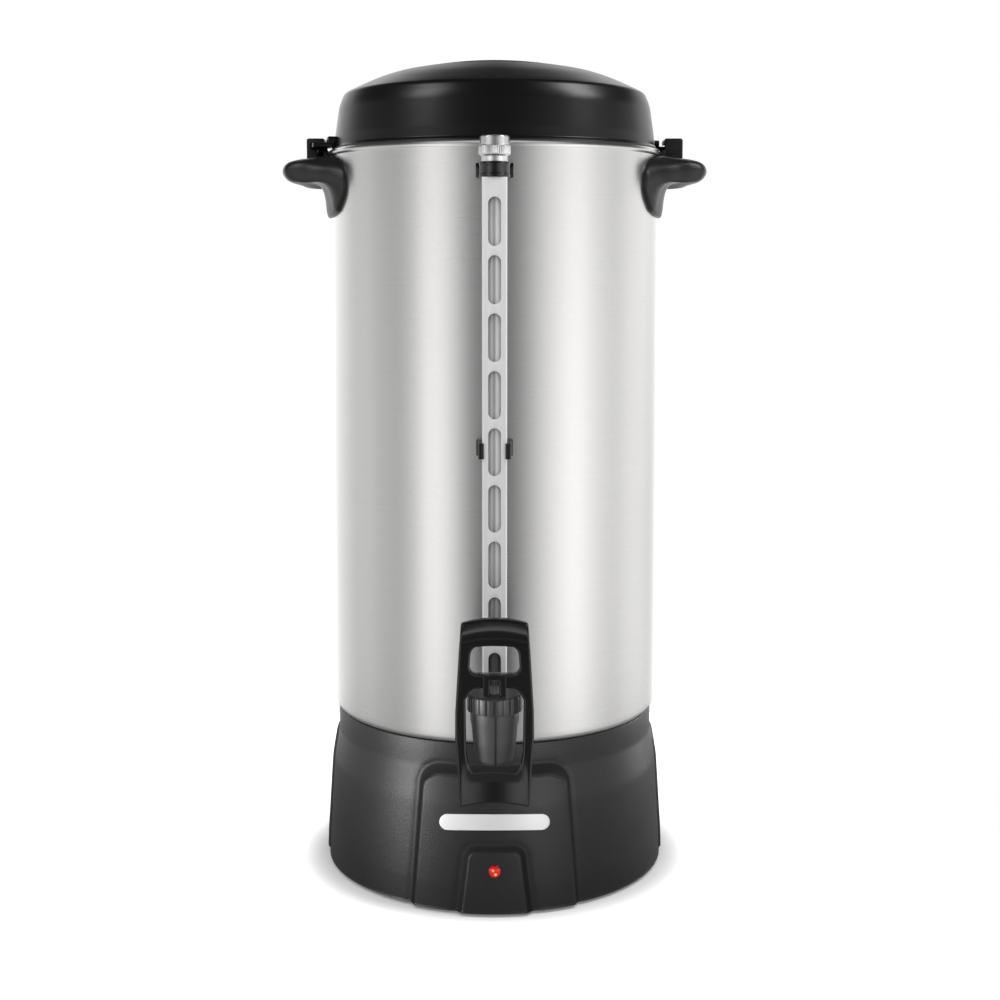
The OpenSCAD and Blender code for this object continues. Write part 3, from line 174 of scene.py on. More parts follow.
# Brightness of the studio round the urn, by degrees round from the front
STUDIO = [(-180, 0.12), (-175, 0.9), (-166, 1.35), (-150, 0.97), (-133, 0.82), (-117, 0.66),
          (-100, 0.68), (-84, 0.57), (-70, 0.52), (-58, 0.72), (-49, 1.18), (-41, 1.24), (-33, 1.06),
          (-24, 0.66), (-15, 0.26), (0, 0.13), (9, 0.16), (18, 0.34), (27, 0.64), (36, 0.92),
          (46, 1.16), (56, 1.36), (64, 1.28), (75, 0.98), (92, 0.8), (110, 0.96), (127, 0.95),
          (142, 0.8), (158, 0.9), (166, 1.35), (175, 0.9), (180, 0.12)]
STUDIO_PEAK = 1.4
# The studio's dark roof: its brightness, the heights of a ray where it starts and where it is full,
# and how much higher both are behind the urn
ROOF = 0.06
ROOF_FROM, ROOF_FULL, ROOF_BEHIND = 0.06, 0.34, 0.35
# How much brighter the studio is above the horizon than below it
ABOVE_HORIZON = 0.2
world = bpy.data.worlds.new("studio")
world.use_nodes = True
scene.world = world
room = Nodes(world.node_tree)
background = world.node_tree.nodes["Background"]
east, north, up = room.split(room.node("ShaderNodeTexCoord").out("Generated"))
turn = east.math("ARCTAN2", east, north * -1) / (2 * math.pi) + 0.5
round_about = room.node("ShaderNodeValToRGB", {
    "ramp": "EASE",
    "stops": [((angle + 180) / 360, grey(level / STUDIO_PEAK)) for angle, level in STUDIO]},
    {0: turn}).out(0)
walls = room.node("ShaderNodeVectorMath", {"operation": "SCALE"}, {
    0: round_about, "Scale": up.rise(-0.14, 0.04) * ABOVE_HORIZON + 1.0}).out(0)
behind = north.rise(0.5, 0.9) * ROOF_BEHIND
roofed = room.mix(up.rise(ROOF_FROM + behind, ROOF_FULL + behind), walls, grey(ROOF / STUDIO_PEAK))
ray = room.node("ShaderNodeLightPath")
seen = (ray.out("Is Camera Ray") + ray.out("Is Transmission Ray")).at_most(1.0)
room.join(room.mix(seen, roofed, grey(1 / STUDIO_PEAK)), background.inputs["Color"])
background.inputs["Strength"].default_value = STUDIO_PEAK

# Name, degrees round and up, metres away, width and height, watts, and the pieces that mirror the
# lamp. The last two only fill, and no piece mirrors them.
LAMPS = [("left_strip", -58, -8, 1.7, (0.5, 0.9), 24.0, "base and faucet"),
         ("centre_strip", 27, -8, 1.7, (0.4, 0.9), 5.5, "base and faucet"),
         ("right_strip", 118, 4, 1.7, (0.4, 0.9), 9.0, "base and faucet"),
         ("left_softbox", -54, 43, 1.7, (0.5, 0.65), 5.0, "plastics"),
         ("right_softbox", 71, 46, 1.7, (0.5, 0.75), 9.5, "plastics"),
         ("rim_light", 0, 60, 1.7, (2.4, 1.3), 6.0, "tank"),
         ("lever_light", 6, 20, 1.7, (1.6, 0.7), 4.5, "lever"),
         ("front_fill", 0, 38, 1.7, (1.4, 1.0), 9.0, None),
         ("overhead", 10, 78, 1.6, (1.2, 1.2), 6.0, None)]
LAMP_AIM = Vector((0, 0, 0.25))
mirrors = {shown: bpy.data.collections.new(shown)
           for shown in ("base and faucet", "plastics", "tank", "lever")}
for name, azimuth, elevation, distance, size, power, shown_in in LAMPS:
    lamp = bpy.data.objects.new(name, bpy.data.lights.new(name, "AREA"))
    lamp.data.shape = "RECTANGLE"
    lamp.data.size, lamp.data.size_y = size
    lamp.data.energy = power
    a, e = math.radians(azimuth), math.radians(elevation)
    toward = Vector((math.sin(a) * math.cos(e), -math.cos(a) * math.cos(e), math.sin(e)))
    lamp.location = toward * distance + LAMP_AIM
    lamp.rotation_euler = toward.to_track_quat("Z", "Y").to_euler()
    lamp.visible_glossy = shown_in is not None
    if shown_in:
        lamp.light_linking.receiver_collection = mirrors[shown_in]
    scene.collection.objects.link(lamp)


class Finish(Nodes):
    """A material: a Principled shader whose constants are set here, with nodes where it varies."""

    def __init__(self, name, **constants):
        self.material = bpy.data.materials.new(name)
        self.material.use_nodes = True
        super().__init__(self.material.node_tree)
        self.shader = self.tree.nodes["Principled BSDF"]
        for socket, value in constants.items():
            self.shader.inputs[socket.replace("_", " ")].default_value = value

    def feed(self, socket, value):
        self.join(value, self.shader.inputs[socket])

    def lay(self, share, colour):
        """Lays another colour over the base colour where share is 1."""
        below = Value(self, self.shader.inputs["Base Color"].links[0].from_socket)
        self.feed("Base Color", self.mix(share, below, colour))

    def place(self, stretch=(1, 1, 1)):
        """Where a point is on the urn, in metres, stretched along each axis."""
        spot = self.node("ShaderNodeTexCoord").out("Object")
        return self.node("ShaderNodeMapping", {}, {"Vector": spot, "Scale": stretch}).out(0)

    def millimetres(self):
        """Where a point is on the urn: its x, y and z in millimetres."""
        return [part * (1 / MM) for part in self.split(self.place())]

    def noise(self, size, stretch=(1, 1, 1), detail=2.0, rough=0.5):
        """Soft random patches of that size in metres, 0 to 1."""
        return self.node("ShaderNodeTexNoise", {}, {
            "Vector": self.place(stretch), "Scale": 1 / size, "Detail": detail,
            "Roughness": rough}).out(0)

    def dress(self, share, low, high, roughness, height, depth):
        """Colour from low to high by share, a roughness, and bumps of height times depth in metres."""
        self.feed("Base Color", self.mix(share, low, high))
        self.feed("Roughness", roughness)
        self.feed("Normal", self.node("ShaderNodeBump", {}, {
            "Height": height, "Distance": depth, "Strength": 1.0}).out(0))
        return self


# White table top. The camera sees it as pure white with a soft shadow where the urn stands, and
# everything else sees it as a dim grey.
TABLE_R = 0.38
SHADOW_GLOW, OPEN_GLOW = 0.16, 0.95
SHADOW_R, OPEN_R = 0.12, 0.158
table = bmesh.new()
bmesh.ops.create_circle(table, cap_ends=True, segments=96, radius=TABLE_R)
table_mesh = bpy.data.meshes.new("table")
table.to_mesh(table_mesh)
table.free()
floor = bpy.data.objects.new("table", table_mesh)
scene.collection.objects.link(floor)
white = Finish("table_white", Base_Color=grey(0.86), Roughness=0.9, Specular_IOR_Level=0.1)
dim = white.node("ShaderNodeBsdfDiffuse", {}, {"Color": grey(0.36)})
away = white.node("ShaderNodeVectorMath", {"operation": "LENGTH"},
                  {0: white.node("ShaderNodeTexCoord").out("Object")}).out(1)
shining = white.node("ShaderNodeEmission", {}, {
    "Color": grey(1.0), "Strength": SHADOW_GLOW + away.rise(SHADOW_R, OPEN_R) * OPEN_GLOW})
both = white.node("ShaderNodeAddShader", {}, {
    0: Value(white, white.shader.outputs[0]), 1: shining.out(0)})
pick = white.node("ShaderNodeMixShader", {}, {
    0: white.node("ShaderNodeLightPath").out("Is Camera Ray"), 1: dim.out(0), 2: both.out(0)})
white.join(pick.out(0), white.tree.nodes["Material Output"].inputs["Surface"])
floor.data.materials.append(white.material)


# -------------------- tank
# Spun from 1.2 mm aluminium sheet, with a heating well pressed in its floor and the rim rolled
# outwards round a bead. The outside is brushed round and round with a fine belt.

TANK_R = 114.0
SHEET = 1.2
RIM_Z = 504.8
LEDGE_Z = 113.2
FLOOR_Z = 114.4
WELL_R = 30.0
WELL_Z = 106.4
BEAD_R = 2.6

# Half the angle, in radians, past which a corner counts as straight, and how close two points of a
# turned mesh are when they are one
ALMOST_STRAIGHT = 1.56
WELD = 0.002


def filleted(corners, steps=6, closed=True):
    """An outline in (x, y) or (r, z) from corners [x, y, radius of the rounding]."""
    points, count = [], len(corners)
    for i, corner in enumerate(corners):
        here = Vector(corner[:2])
        radius = corner[2] if len(corner) > 2 else 0
        if radius == 0 or (not closed and i in (0, count - 1)):
            points.append(here)
            continue
        to_a = (Vector(corners[i - 1][:2]) - here).normalized()
        to_b = (Vector(corners[(i + 1) % count][:2]) - here).normalized()
        half = to_a.angle(to_b) / 2
        if half > ALMOST_STRAIGHT:
            points.append(here)
            continue
        centre = here + (to_a + to_b).normalized() * radius / math.sin(half)
        start = here + to_a * radius / math.tan(half) - centre
        end = here + to_b * radius / math.tan(half) - centre
        swing = start.angle_signed(end)
        for step in range(steps + 1):
            arm = start.copy()
            arm.rotate(Matrix.Rotation(-swing * step / steps, 2))
            points.append(centre + arm)
    return [(p.x, p.y) for p in points]


def mirrored(half):
    """The corners of a whole outline from those of its right half, foot first."""
    left = [(-x, *rest) for x, *rest in half]
    return [left[0]] + half + left[:0:-1]


def arc(x, y, radius, first, last, steps):
    """Points on an arc about (x, y), in degrees."""
    angles = [math.radians(first + (last - first) * i / steps) for i in range(steps + 1)]
    return [(x + radius * math.cos(a), y + radius * math.sin(a)) for a in angles]


def turned(profile, steps, at=(0, 0), closed=False):
    """Spins an (r, z) outline a full turn about an upright axis at (x, y)."""
    bm = bmesh.new()
    verts = [bm.verts.new((r, 0, z)) for r, z in profile]
    pairs = list(zip(verts, verts[1:])) + ([(verts[-1], verts[0])] if closed else [])
    edges = [bm.edges.new(pair) for pair in pairs]
    bmesh.ops.spin(bm, geom=verts + edges, cent=(0, 0, 0), axis=(0, 0, 1), angle=2 * math.pi,
                   steps=steps, use_merge=True)
    bmesh.ops.remove_doubles(bm, verts=bm.verts, dist=WELD)
    bmesh.ops.recalc_face_normals(bm, faces=bm.faces)
    bmesh.ops.translate(bm, verts=bm.verts, vec=(at[0], at[1], 0))
    return bm


def lathed(corners, rounding, steps, at=(0, 0)):
    """A turned solid from the corners of its section; rounding is the steps of each rounded one."""
    return turned(filleted(corners, rounding), steps, at, closed=True)


def piece(name, bm, body, finish, smooth=35, mirror=None):
    """Makes a finished piece from a mesh in millimetres, in place of the CAD node of its name.
    mirror names the lamps that show in it."""
    bmesh.ops.scale(bm, vec=(MM, MM, MM), verts=bm.verts)
    mesh = bpy.data.meshes.new(name)
    bm.to_mesh(mesh)
    bm.free()
    mesh.shade_smooth()
    mesh.set_sharp_from_angle(angle=math.radians(smooth))
    made = bpy.data.objects.new(name, mesh)
    scene.collection.objects.link(made)
    mesh.materials.append(finish.material)
    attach(made, body)
    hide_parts(name)
    if mirror:
        mirrors[mirror].objects.link(made)
    return made


brushed = Finish("brushed_aluminium", Metallic=1.0, Anisotropic=0.72, Anisotropic_Rotation=0.25)
fine = brushed.noise(0.02, (1, 1, 60), detail=3.0, rough=0.6)
streak = brushed.noise(0.035, (1, 1, 26), detail=1.0)
cloud = brushed.noise(0.09)
grain = fine * 0.55 + streak * 0.45
brushed.dress(grain * 0.7 + cloud * 0.3, grey(0.72, 0.008), grey(0.84, 0.008),
              0.24 + grain * 0.06 + cloud * 0.03, fine, 0.00005)

wall = [(TANK_R - SHEET, RIM_Z - 2 * BEAD_R + 0.2)]
wall += arc(TANK_R - SHEET / 2, RIM_Z - BEAD_R, BEAD_R, 205, -32, 22)
wall += [(TANK_R, RIM_Z - 2 * BEAD_R + 0.9)]
wall += [(TANK_R, z) for z in np.linspace(RIM_Z - 2 * BEAD_R - 2, LEDGE_Z + 8, 14)]
wall += filleted([(TANK_R, LEDGE_Z + 7), (TANK_R, LEDGE_Z, 4), (WELL_R, LEDGE_Z, 0.8),
                  (WELL_R, LEDGE_Z - 8, 1.5), (0, LEDGE_Z - 8)], closed=False)
inner = filleted([(0, WELL_Z), (WELL_R - SHEET, WELL_Z, 1), (WELL_R - SHEET, FLOOR_Z, 1.5),
                  (TANK_R - SHEET, FLOOR_Z, 3), (TANK_R - SHEET, FLOOR_Z + 10)], closed=False)
inner += [(TANK_R - SHEET, z) for z in np.linspace(FLOOR_Z + 14, RIM_Z - 12, 12)]
tank = turned(wall + inner, steps=224)
bmesh.ops.remove_doubles(tank, verts=tank.verts, dist=0.05)
tank_piece = piece("tank", tank, "urn", brushed, 50, "tank")
# The softboxes of the plastics don't show in the tank
mirrors["plastics"].objects.link(tank_piece)
mirrors["plastics"].collection_objects[0].light_linking.link_state = "EXCLUDE"


# -------------------- base
# One charcoal moulding with a fine spark-eroded grain. It carries a tall arch in front, a lamp
# panel on the arch and a panel at each side, and a flat pad behind for the power inlet.

NECK_R = 112.2
NECK_Z = 97.2
FOOT_R = 120.6
BASE_FOOT_Z = 2.0
BASE_WALL = 3.0
ARCH_RISE = 3.0
LAMP_RISE = 3.0
SIDE_RISE = 1.8
SIDE_ANGLE = 100.0
ARCH_FLANK = 4.4
ARCH_TOP_FLANK = 8.2
ARCH_WIDENS_Z = 84.0
LAMP_FLANK = 4.4
SIDE_FLANK = 2.6
# Depth and width of the groove round the arch and the lamp panel, and its painted shade: how far outside
# the edge the painted shade starts, and the share of the flank that it covers
GROOVE = 0.4
GROOVE_W = 2.2
SHADE_OUT = 1.4
SHADE_IN = 0.62
PAD_Y = 123.9
INLET_Z = 40.0

bowed = filleted([(FOOT_R, BASE_FOOT_Z - 20), (FOOT_R - 1.4, 20.0, 60), (115.7, 73.5, 60),
                  (NECK_R, NECK_Z - 2, 24), (NECK_R, LEDGE_Z + 5)], steps=12, closed=False)
bow_r, bow_z = np.array(bowed).T


def base_r(z):
    """Radius of the base's plain wall at a height."""
    return np.interp(z, bow_z, bow_r)


def inside_by(x, z, outline):
    """How far points are inside an outline; negative outside."""
    ax, az = np.array(outline).T
    bx, bz = np.roll(ax, -1), np.roll(az, -1)
    near = np.full(x.shape, 1e9)
    odd = np.zeros(x.shape, bool)
    for x0, z0, x1, z1 in zip(ax, az, bx, bz):
        share = ((x - x0) * (x1 - x0) + (z - z0) * (z1 - z0)) / max((x1 - x0) ** 2 + (z1 - z0) ** 2, 1e-9)
        share = np.clip(share, 0, 1)
        near = np.minimum(near, np.hypot(x - x0 - share * (x1 - x0), z - z0 - share * (z1 - z0)))
        odd ^= ((z0 > z) != (z1 > z)) & (x < (x1 - x0) * (z - z0) / (z1 - z0 + 1e-12) + x0)
    return np.where(odd, near, -near)


def soft_step(t):
    """0 below 0, 1 above 1, and a soft step between."""
    t = np.clip(t, 0, 1)
    return t * t * (3 - 2 * t)


arch = filleted(mirrored([(58.4, -30), (48.5, 98.2, 15)]))
lamp_panel = filleted(mirrored([(38, -14), (24, 3, 12), (19, 46.5, 8)]))
side_panel = filleted(mirrored([(33, 3, 2), (27, 95, 14)]))
pad = filleted(mirrored([(28, 23, 3), (28, 57, 3)]))


def panels(turn, z):
    """How far the base's face stands out from its plain wall, by angle from the front, and how much
    painted shade darkens the grooves round the front panels."""
    radius = base_r(z)
    out = np.zeros_like(z)
    x = radius * np.sin(turn)
    ahead = np.cos(turn) > 0
    groove = np.zeros_like(z)
    arch_flank = ARCH_FLANK + (ARCH_TOP_FLANK - ARCH_FLANK) * soft_step((z - ARCH_WIDENS_Z) / 8)
    for rise, flank, outline in ((ARCH_RISE, arch_flank, arch), (LAMP_RISE, LAMP_FLANK, lamp_panel)):
        depth = inside_by(x, z, outline)
        out += rise * soft_step(depth / flank) * ahead
        out -= GROOVE * np.exp(-((depth + GROOVE_W / 2) / GROOVE_W) ** 2) * ahead
        shade = soft_step((depth + SHADE_OUT) / 1.8) * (1 - soft_step((depth - SHADE_IN * flank) / 1.5))
        groove = np.maximum(groove, shade * ahead)
    for side in (-1, 1):
        off = turn - side * math.radians(SIDE_ANGLE)
        edge = soft_step(inside_by(radius * np.sin(off), z, side_panel) / SIDE_FLANK)
        out += SIDE_RISE * edge * (np.cos(off) > 0)
    back = turn - math.pi
    flat = PAD_Y / np.maximum(np.cos(back), 0.5) - radius
    raised = soft_step(inside_by(PAD_Y * np.tan(back), z, pad) / 1.2) * (np.cos(back) > 0.5)
    return out + np.maximum(flat, 0) * raised, groove


def crowded(low, high, zones, coarse):
    """Places from low to high, close together inside zones (from, to, spacing)."""
    places, at = [low], low
    while at < high:
        step = min([s for a, b, s in zones if a - coarse <= at < b] or [coarse])
        at += step
        places.append(min(at, high))
    return places


# Half the angle of the inlet's hole, and the top of the face that the panels shape
HOLE_TURN = 6.6
FACE_TOP = 108
# Rows and columns of faces are close together along the edges of the panels
rows = crowded(BASE_FOOT_Z + 1.6, NECK_Z + 4, [(3, 7, 0.6), (40, 48, 0.6), (88, 100, 0.6),
                                                (20, 32, 1.0), (48, 60, 1.0)], 2.0)
rows = sorted(set(rows + [INLET_Z - 10, INLET_Z + 10]))
columns = crowded(-180, 180, [(-180, -172, 0.5), (-172, -164, 0.33), (-120, -80, 0.4), (-31, 31, 0.3),
                               (80, 120, 0.4), (164, 172, 0.33), (172, 180, 0.5)], 1.5)
columns = sorted(set(columns + [180 - HOLE_TURN, HOLE_TURN - 180]))
outer = [(FOOT_R - 2.8, BASE_FOOT_Z), (FOOT_R - 1.2, BASE_FOOT_Z), (FOOT_R - 0.4, BASE_FOOT_Z + 0.5)]
outer += [(float(base_r(z)), z) for z in rows]
outer += filleted([(NECK_R, NECK_Z + 6), (NECK_R, LEDGE_Z, 0.8), (76, LEDGE_Z, 0.5), (76, 110.2, 0.5),
                   (NECK_R - BASE_WALL, 110.2, 1), (NECK_R - BASE_WALL, NECK_Z)], closed=False)
outer += [(float(base_r(z)) - BASE_WALL, z) for z in (INLET_Z + 10, INLET_Z - 10, 12)]
count = len(columns) - 1
base = turned(outer, steps=count, closed=True)
# Each column of the turned mesh moves to its own angle, and its face out to the panels
for v in base.verts:
    column = round((math.atan2(v.co.x, -v.co.y) / (2 * math.pi) + 0.5) * count) % count
    turn_at = math.radians(columns[column])
    r = math.hypot(v.co.x, v.co.y)
    v.co = (r * math.sin(turn_at), -r * math.cos(turn_at), v.co.z)
co = np.array([v.co for v in base.verts])
turn_all, r_all = np.arctan2(co[:, 0], -co[:, 1]), np.hypot(co[:, 0], co[:, 1])
face = (r_all > base_r(co[:, 2]) - BASE_WALL + 0.1) & (co[:, 2] < FACE_TOP)
lift, groove = panels(turn_all, co[:, 2])
lift *= face
# Each vertex keeps the painted shade of the grooves, so that the charcoal finish can darken them
painted_shade_layer = base.verts.layers.float.new("groove")
for v, out, angle, r, dark in zip(base.verts, lift, turn_all, r_all, groove * face):
    v[painted_shade_layer] = dark
    if out:
        v.co = ((r + out) * math.sin(angle), -(r + out) * math.cos(angle), v.co.z)
socket = [f for f in base.faces if f.calc_center_median().y > 100
          and abs(math.atan2(f.calc_center_median().x, f.calc_center_median().y)) < math.radians(HOLE_TURN)
          and abs(f.calc_center_median().z - INLET_Z) < 10]
bmesh.ops.delete(base, geom=socket, context="FACES")
rims = [e for e in base.edges if e.is_boundary]
bmesh.ops.bridge_loops(base, edges=rims)
bmesh.ops.recalc_face_normals(base, faces=base.faces)


def moulded(name, dark, light, roughness, grain, depth, warmth=0.0, **constants):
    """Moulded plastic: fine grain, soft tone and gloss patches left by the flow in the mould."""
    finish = Finish(name, **constants)
    sand = finish.noise(grain, detail=2.0)
    flow = finish.noise(0.05, detail=3.0)
    dull = finish.noise(0.012)
    return finish.dress(flow * 0.6 + sand * 0.4, grey(dark, warmth), grey(light, warmth),
                        roughness - 0.05 + flow * 0.06 + dull * 0.04, sand, depth)


def lined(name, low, high, roughness, varies, size, depth, stretch=(1, 1, 1), detail=3.0, **constants):
    """A noise that shifts the colour from low to high, dulls the gloss and raises the surface."""
    finish = Finish(name, **constants)
    lines = finish.noise(size, stretch, detail)
    return finish.dress(lines, low, high, roughness + lines * varies, lines, depth)


charcoal = moulded("charcoal_plastic", 0.009, 0.019, 0.4, 0.0009, 0.00012, 0.01,
                    Specular_IOR_Level=0.38)
# Painted shade darkens the grooves round the front panels, and their gloss is duller there
painted_shade_share = charcoal.node("ShaderNodeAttribute", {"attribute_name": "groove"}).out("Fac")
charcoal.lay(painted_shade_share, grey(0.002))
gloss_below = Value(charcoal, charcoal.shader.inputs["Roughness"].links[0].from_socket)
charcoal.feed("Roughness", gloss_below + painted_shade_share * 0.35)
piece("base_skirt", base, "urn", charcoal, 60, "base and faucet")


# -------------------- badge
# A lozenge of thin satin metal let in a shallow seat high on the arch, left blank. It is bent to
# the arch and held with tape.

BADGE_W, BADGE_H, BADGE_Z = 73.0, 10.6, 62.6
BADGE_SAG = 1.2


def taken(drawn):
    """Takes the mesh of a new object, as Blender draws it, and removes the object."""
    scene.collection.objects.link(drawn)
    mesh = bpy.data.meshes.new_from_object(drawn.evaluated_get(bpy.context.evaluated_depsgraph_get()))
    bpy.data.objects.remove(drawn)
    bm = bmesh.new()
    bm.from_mesh(mesh)
    bpy.data.meshes.remove(mesh)
    return bm


def plate(outlines, thickness, edge, rounding=2):
    """A flat plate from outlines in x and y, holes after the outside, with its edges rounded."""
    curve = bpy.data.curves.new("outline", "CURVE")
    curve.dimensions = "2D"
    curve.fill_mode = "BOTH"
    curve.extrude = thickness / 2 - edge
    curve.bevel_depth = edge
    curve.bevel_resolution = rounding
    curve.offset = -edge
    for outline in outlines:
        spline = curve.splines.new("POLY")
        spline.points.add(len(outline) - 1)
        for point, (x, y) in zip(spline.points, outline):
            point.co = (x, y, 0, 1)
        spline.use_cyclic_u = True
    bm = taken(bpy.data.objects.new("outline", curve))
    bmesh.ops.remove_doubles(bm, verts=bm.verts, dist=0.001)
    bmesh.ops.recalc_face_normals(bm, faces=bm.faces)
    return bm


def sliced(bm, axis, places):
    """Cuts rows of edges across a mesh so that it can be bent."""
    normal = Vector((axis == "x", axis == "y", axis == "z"))
    for at in places:
        bmesh.ops.bisect_plane(bm, geom=bm.verts[:] + bm.edges[:] + bm.faces[:], dist=1e-4,
                               plane_co=normal * float(at), plane_no=normal)
    return bm


def upright(bm, y=0.0, z=0.0):
    """Stands a plate drawn in x and y up in x and z, with its face towards the front."""
    bmesh.ops.transform(bm, matrix=Matrix.Translation((0, y, z)) @ Matrix.Rotation(math.pi / 2, 4, "X"),
                        verts=bm.verts)
    return bm


satin = lined("satin_badge", grey(0.7), grey(0.79), 0.36, 0.1, 0.012, 0.00002, (1, 1, 40), 2.0, Metallic=0.3)
half, end = (BADGE_W - BADGE_H) / 2, BADGE_H / 2
badge = plate([arc(half, 0, end, -90, 90, 12) + arc(-half, 0, end, 90, 270, 12)], 1.6, 0.3)
upright(sliced(badge, "x", np.arange(-34, 35, 2)))
for v in badge.verts:
    z = v.co.z + BADGE_Z - BADGE_SAG * (v.co.x / half) ** 2
    stand = float(base_r(z)) + ARCH_RISE - 0.2 - v.co.y
    v.co = (v.co.x, -math.sqrt(stand ** 2 - v.co.x ** 2), z)
piece("badge_plate", badge, "urn", satin, mirror="base and faucet")


# -------------------- pilot light
# A red polycarbonate lens with a flange, pushed in a hole of the lamp panel, lit from behind by
# a small neon lamp whose two ends show through it as hot spots.

LENS_Z = 31.0
LENS_R = 4.4
# The ends of the lamp: x and height from the lens's middle, where each is hot, where it has faded,
# and how bright it is
LAMP_ENDS = [(-1.0, 1.2, 0.25, 1.2, 0.8), (0.6, -1.4, 0.3, 1.3, 1.0)]
glow = Finish("red_lens", Roughness=0.12, Emission_Strength=1.0, Coat_Weight=0.4)
lens_x, _, urn_z = glow.millimetres()
lens_z = urn_z - LENS_Z


def off_spot(x, z):
    """How far a point of the lens is from a spot on it."""
    return ((lens_x - x) * (lens_x - x) + (lens_z - z) * (lens_z - z)) ** 0.5


hot = sum((1 - off_spot(x, z).rise(near, far)) * share for x, z, near, far, share in LAMP_ENDS)
# Painted shade: the lens's colour and its glow darken towards its rim, where its seat shades it
painted_rim_shade = off_spot(0, 0).rise(2.9, 4.2)
ember = glow.mix(painted_rim_shade, (0.42, 0.008, 0.01, 1), (0.03, 0.001, 0.001, 1))
glow.feed("Emission Color", glow.mix(hot.at_most(1.0), ember, (1.0, 0.62, 0.22, 1)))
glow.feed("Base Color", glow.mix(painted_rim_shade, (0.5, 0.01, 0.01, 1), (0.2, 0.0, 0.0, 1)))
lens_front = float(base_r(LENS_Z)) + ARCH_RISE + LAMP_RISE
lens = turned([(r, lens_front + out) for r, out in [
    (0, 2.0), (1.4, 1.9), (2.7, 1.45), (3.5, 0.9), (3.9, 0.8), (4.2, 0.55), (LENS_R, 0.1),
    (LENS_R, -0.4), (3.4, -0.4), (3.4, -9), (0, -9)]], steps=48)
piece("pilot_lens", upright(lens, z=LENS_Z), "urn", glow)


# -------------------- feet
# Four black rubber feet, each with a soft lower edge and a recess that hides the screw which
# holds it and the steel bottom cover to a column of the base.

FOOT_CIRCLE = 102.0


def joined(*parts):
    """One mesh from several."""
    whole = bmesh.new()
    for part in parts:
        mesh = bpy.data.meshes.new("part")
        part.to_mesh(mesh)
        part.free()
        whole.from_mesh(mesh)
        bpy.data.meshes.remove(mesh)
    return whole


foot_section = [(4.6, 3.3, 0.3), (4.6, 0, 0.6), (9.6, 0, 0.9), (11, 2.2, 0.8), (11, 5.5, 0.4),
                (2.2, 5.5, 0.2), (2.2, 3.3, 0.2)]
rubber = moulded("black_rubber", 0.02, 0.035, 0.62, 0.0012, 0.00006)
feet = joined(*[lathed(foot_section, 3, 48, at) for at in arc(0, 0, FOOT_CIRCLE, 45, 315, 3)])
piece("feet", feet, "urn", rubber)


# -------------------- power inlet
# A black three-pin inlet with a flange, screwed on the pad at the back. Its socket is open to
# the rear and has rounded corners.

INLET_SCREW_X = 20


def block(low, high, edge):
    """A block between two corners, with its edges rounded."""
    bm = bmesh.new()
    bmesh.ops.create_cube(bm, size=1)
    low, high = Vector(low), Vector(high)
    bmesh.ops.scale(bm, vec=high - low, verts=bm.verts)
    bmesh.ops.translate(bm, vec=(high + low) / 2, verts=bm.verts)
    bmesh.ops.bevel(bm, geom=bm.edges[:], offset=edge, segments=2, profile=0.5, affect="EDGES",
                    material=-1)
    return bm


def rectangle(w, h, radius, y):
    """A rectangle with rounded corners about (0, y)."""
    return filleted(mirrored([(w / 2, y - h / 2, radius), (w / 2, y + h / 2, radius)]), steps=4)


mouth = rectangle(22, 15, 2.5, INLET_Z)
sleeve_plan = rectangle(26.4, 19.4, 2, INLET_Z)
screw_holes = [arc(x, INLET_Z, 2, 0, 345, 23) for x in (-INLET_SCREW_X, INLET_SCREW_X)]
flange = plate([rectangle(50, 26, 3, INLET_Z), mouth] + screw_holes, 2, 0.35)
sleeve = plate([sleeve_plan, mouth], 7, 0.2)
bottom = plate([sleeve_plan], 7, 0.2)
inlet_black = moulded("inlet_black", 0.012, 0.022, 0.34, 0.0006, 0.00002)
inlet = joined(upright(flange, PAD_Y + 1), upright(sleeve, PAD_Y - 2.5), upright(bottom, PAD_Y - 8.6))
piece("power_inlet", inlet, "urn", inlet_black)


# -------------------- handles
# Two ledge handles moulded in black plastic, each with a leaf-shaped flange screwed to the tank, a
# rounded ledge that the fingers hold, and the lid's catch standing on it.

CATCH_L = 22.0
HANDLE_COLUMNS = 193
HANDLE_ROWS = 71
BACK_ROWS = 14


def remeshed(bm, voxel, passes):
    """Melts overlapping solids in one skin and eases its corners."""
    mesh = bpy.data.meshes.new("melt")
    bm.to_mesh(mesh)
    bm.free()
    drawn = bpy.data.objects.new("melt", mesh)
    melt = drawn.modifiers.new("melt", "REMESH")
    melt.mode = "VOXEL"
    melt.voxel_size = voxel
    skin = taken(drawn)
    for _ in range(passes):
        bmesh.ops.smooth_vert(skin, verts=skin.verts[:], factor=0.5, use_axis_x=True, use_axis_y=True,
                              use_axis_z=True)
    return skin


def threaded(places, values, at):
    """A smooth line through values at those places, read at other places."""
    places, values, at = np.asarray(places, float), np.asarray(values, float), np.asarray(at, float)
    slopes = np.gradient(values, places, axis=0)
    i = np.clip(np.searchsorted(places, at, side="right") - 1, 0, len(places) - 2)
    gap = places[i + 1] - places[i]
    t = (at - places[i]) / gap
    shape = (-1,) + (1,) * (values.ndim - 1)
    t, gap = t.reshape(shape), gap.reshape(shape)
    return ((1 + 2 * t) * (1 - t) ** 2 * values[i] + t * (1 - t) ** 2 * gap * slopes[i]
            + t * t * (3 - 2 * t) * values[i + 1] + t * t * (t - 1) * gap * slopes[i + 1])


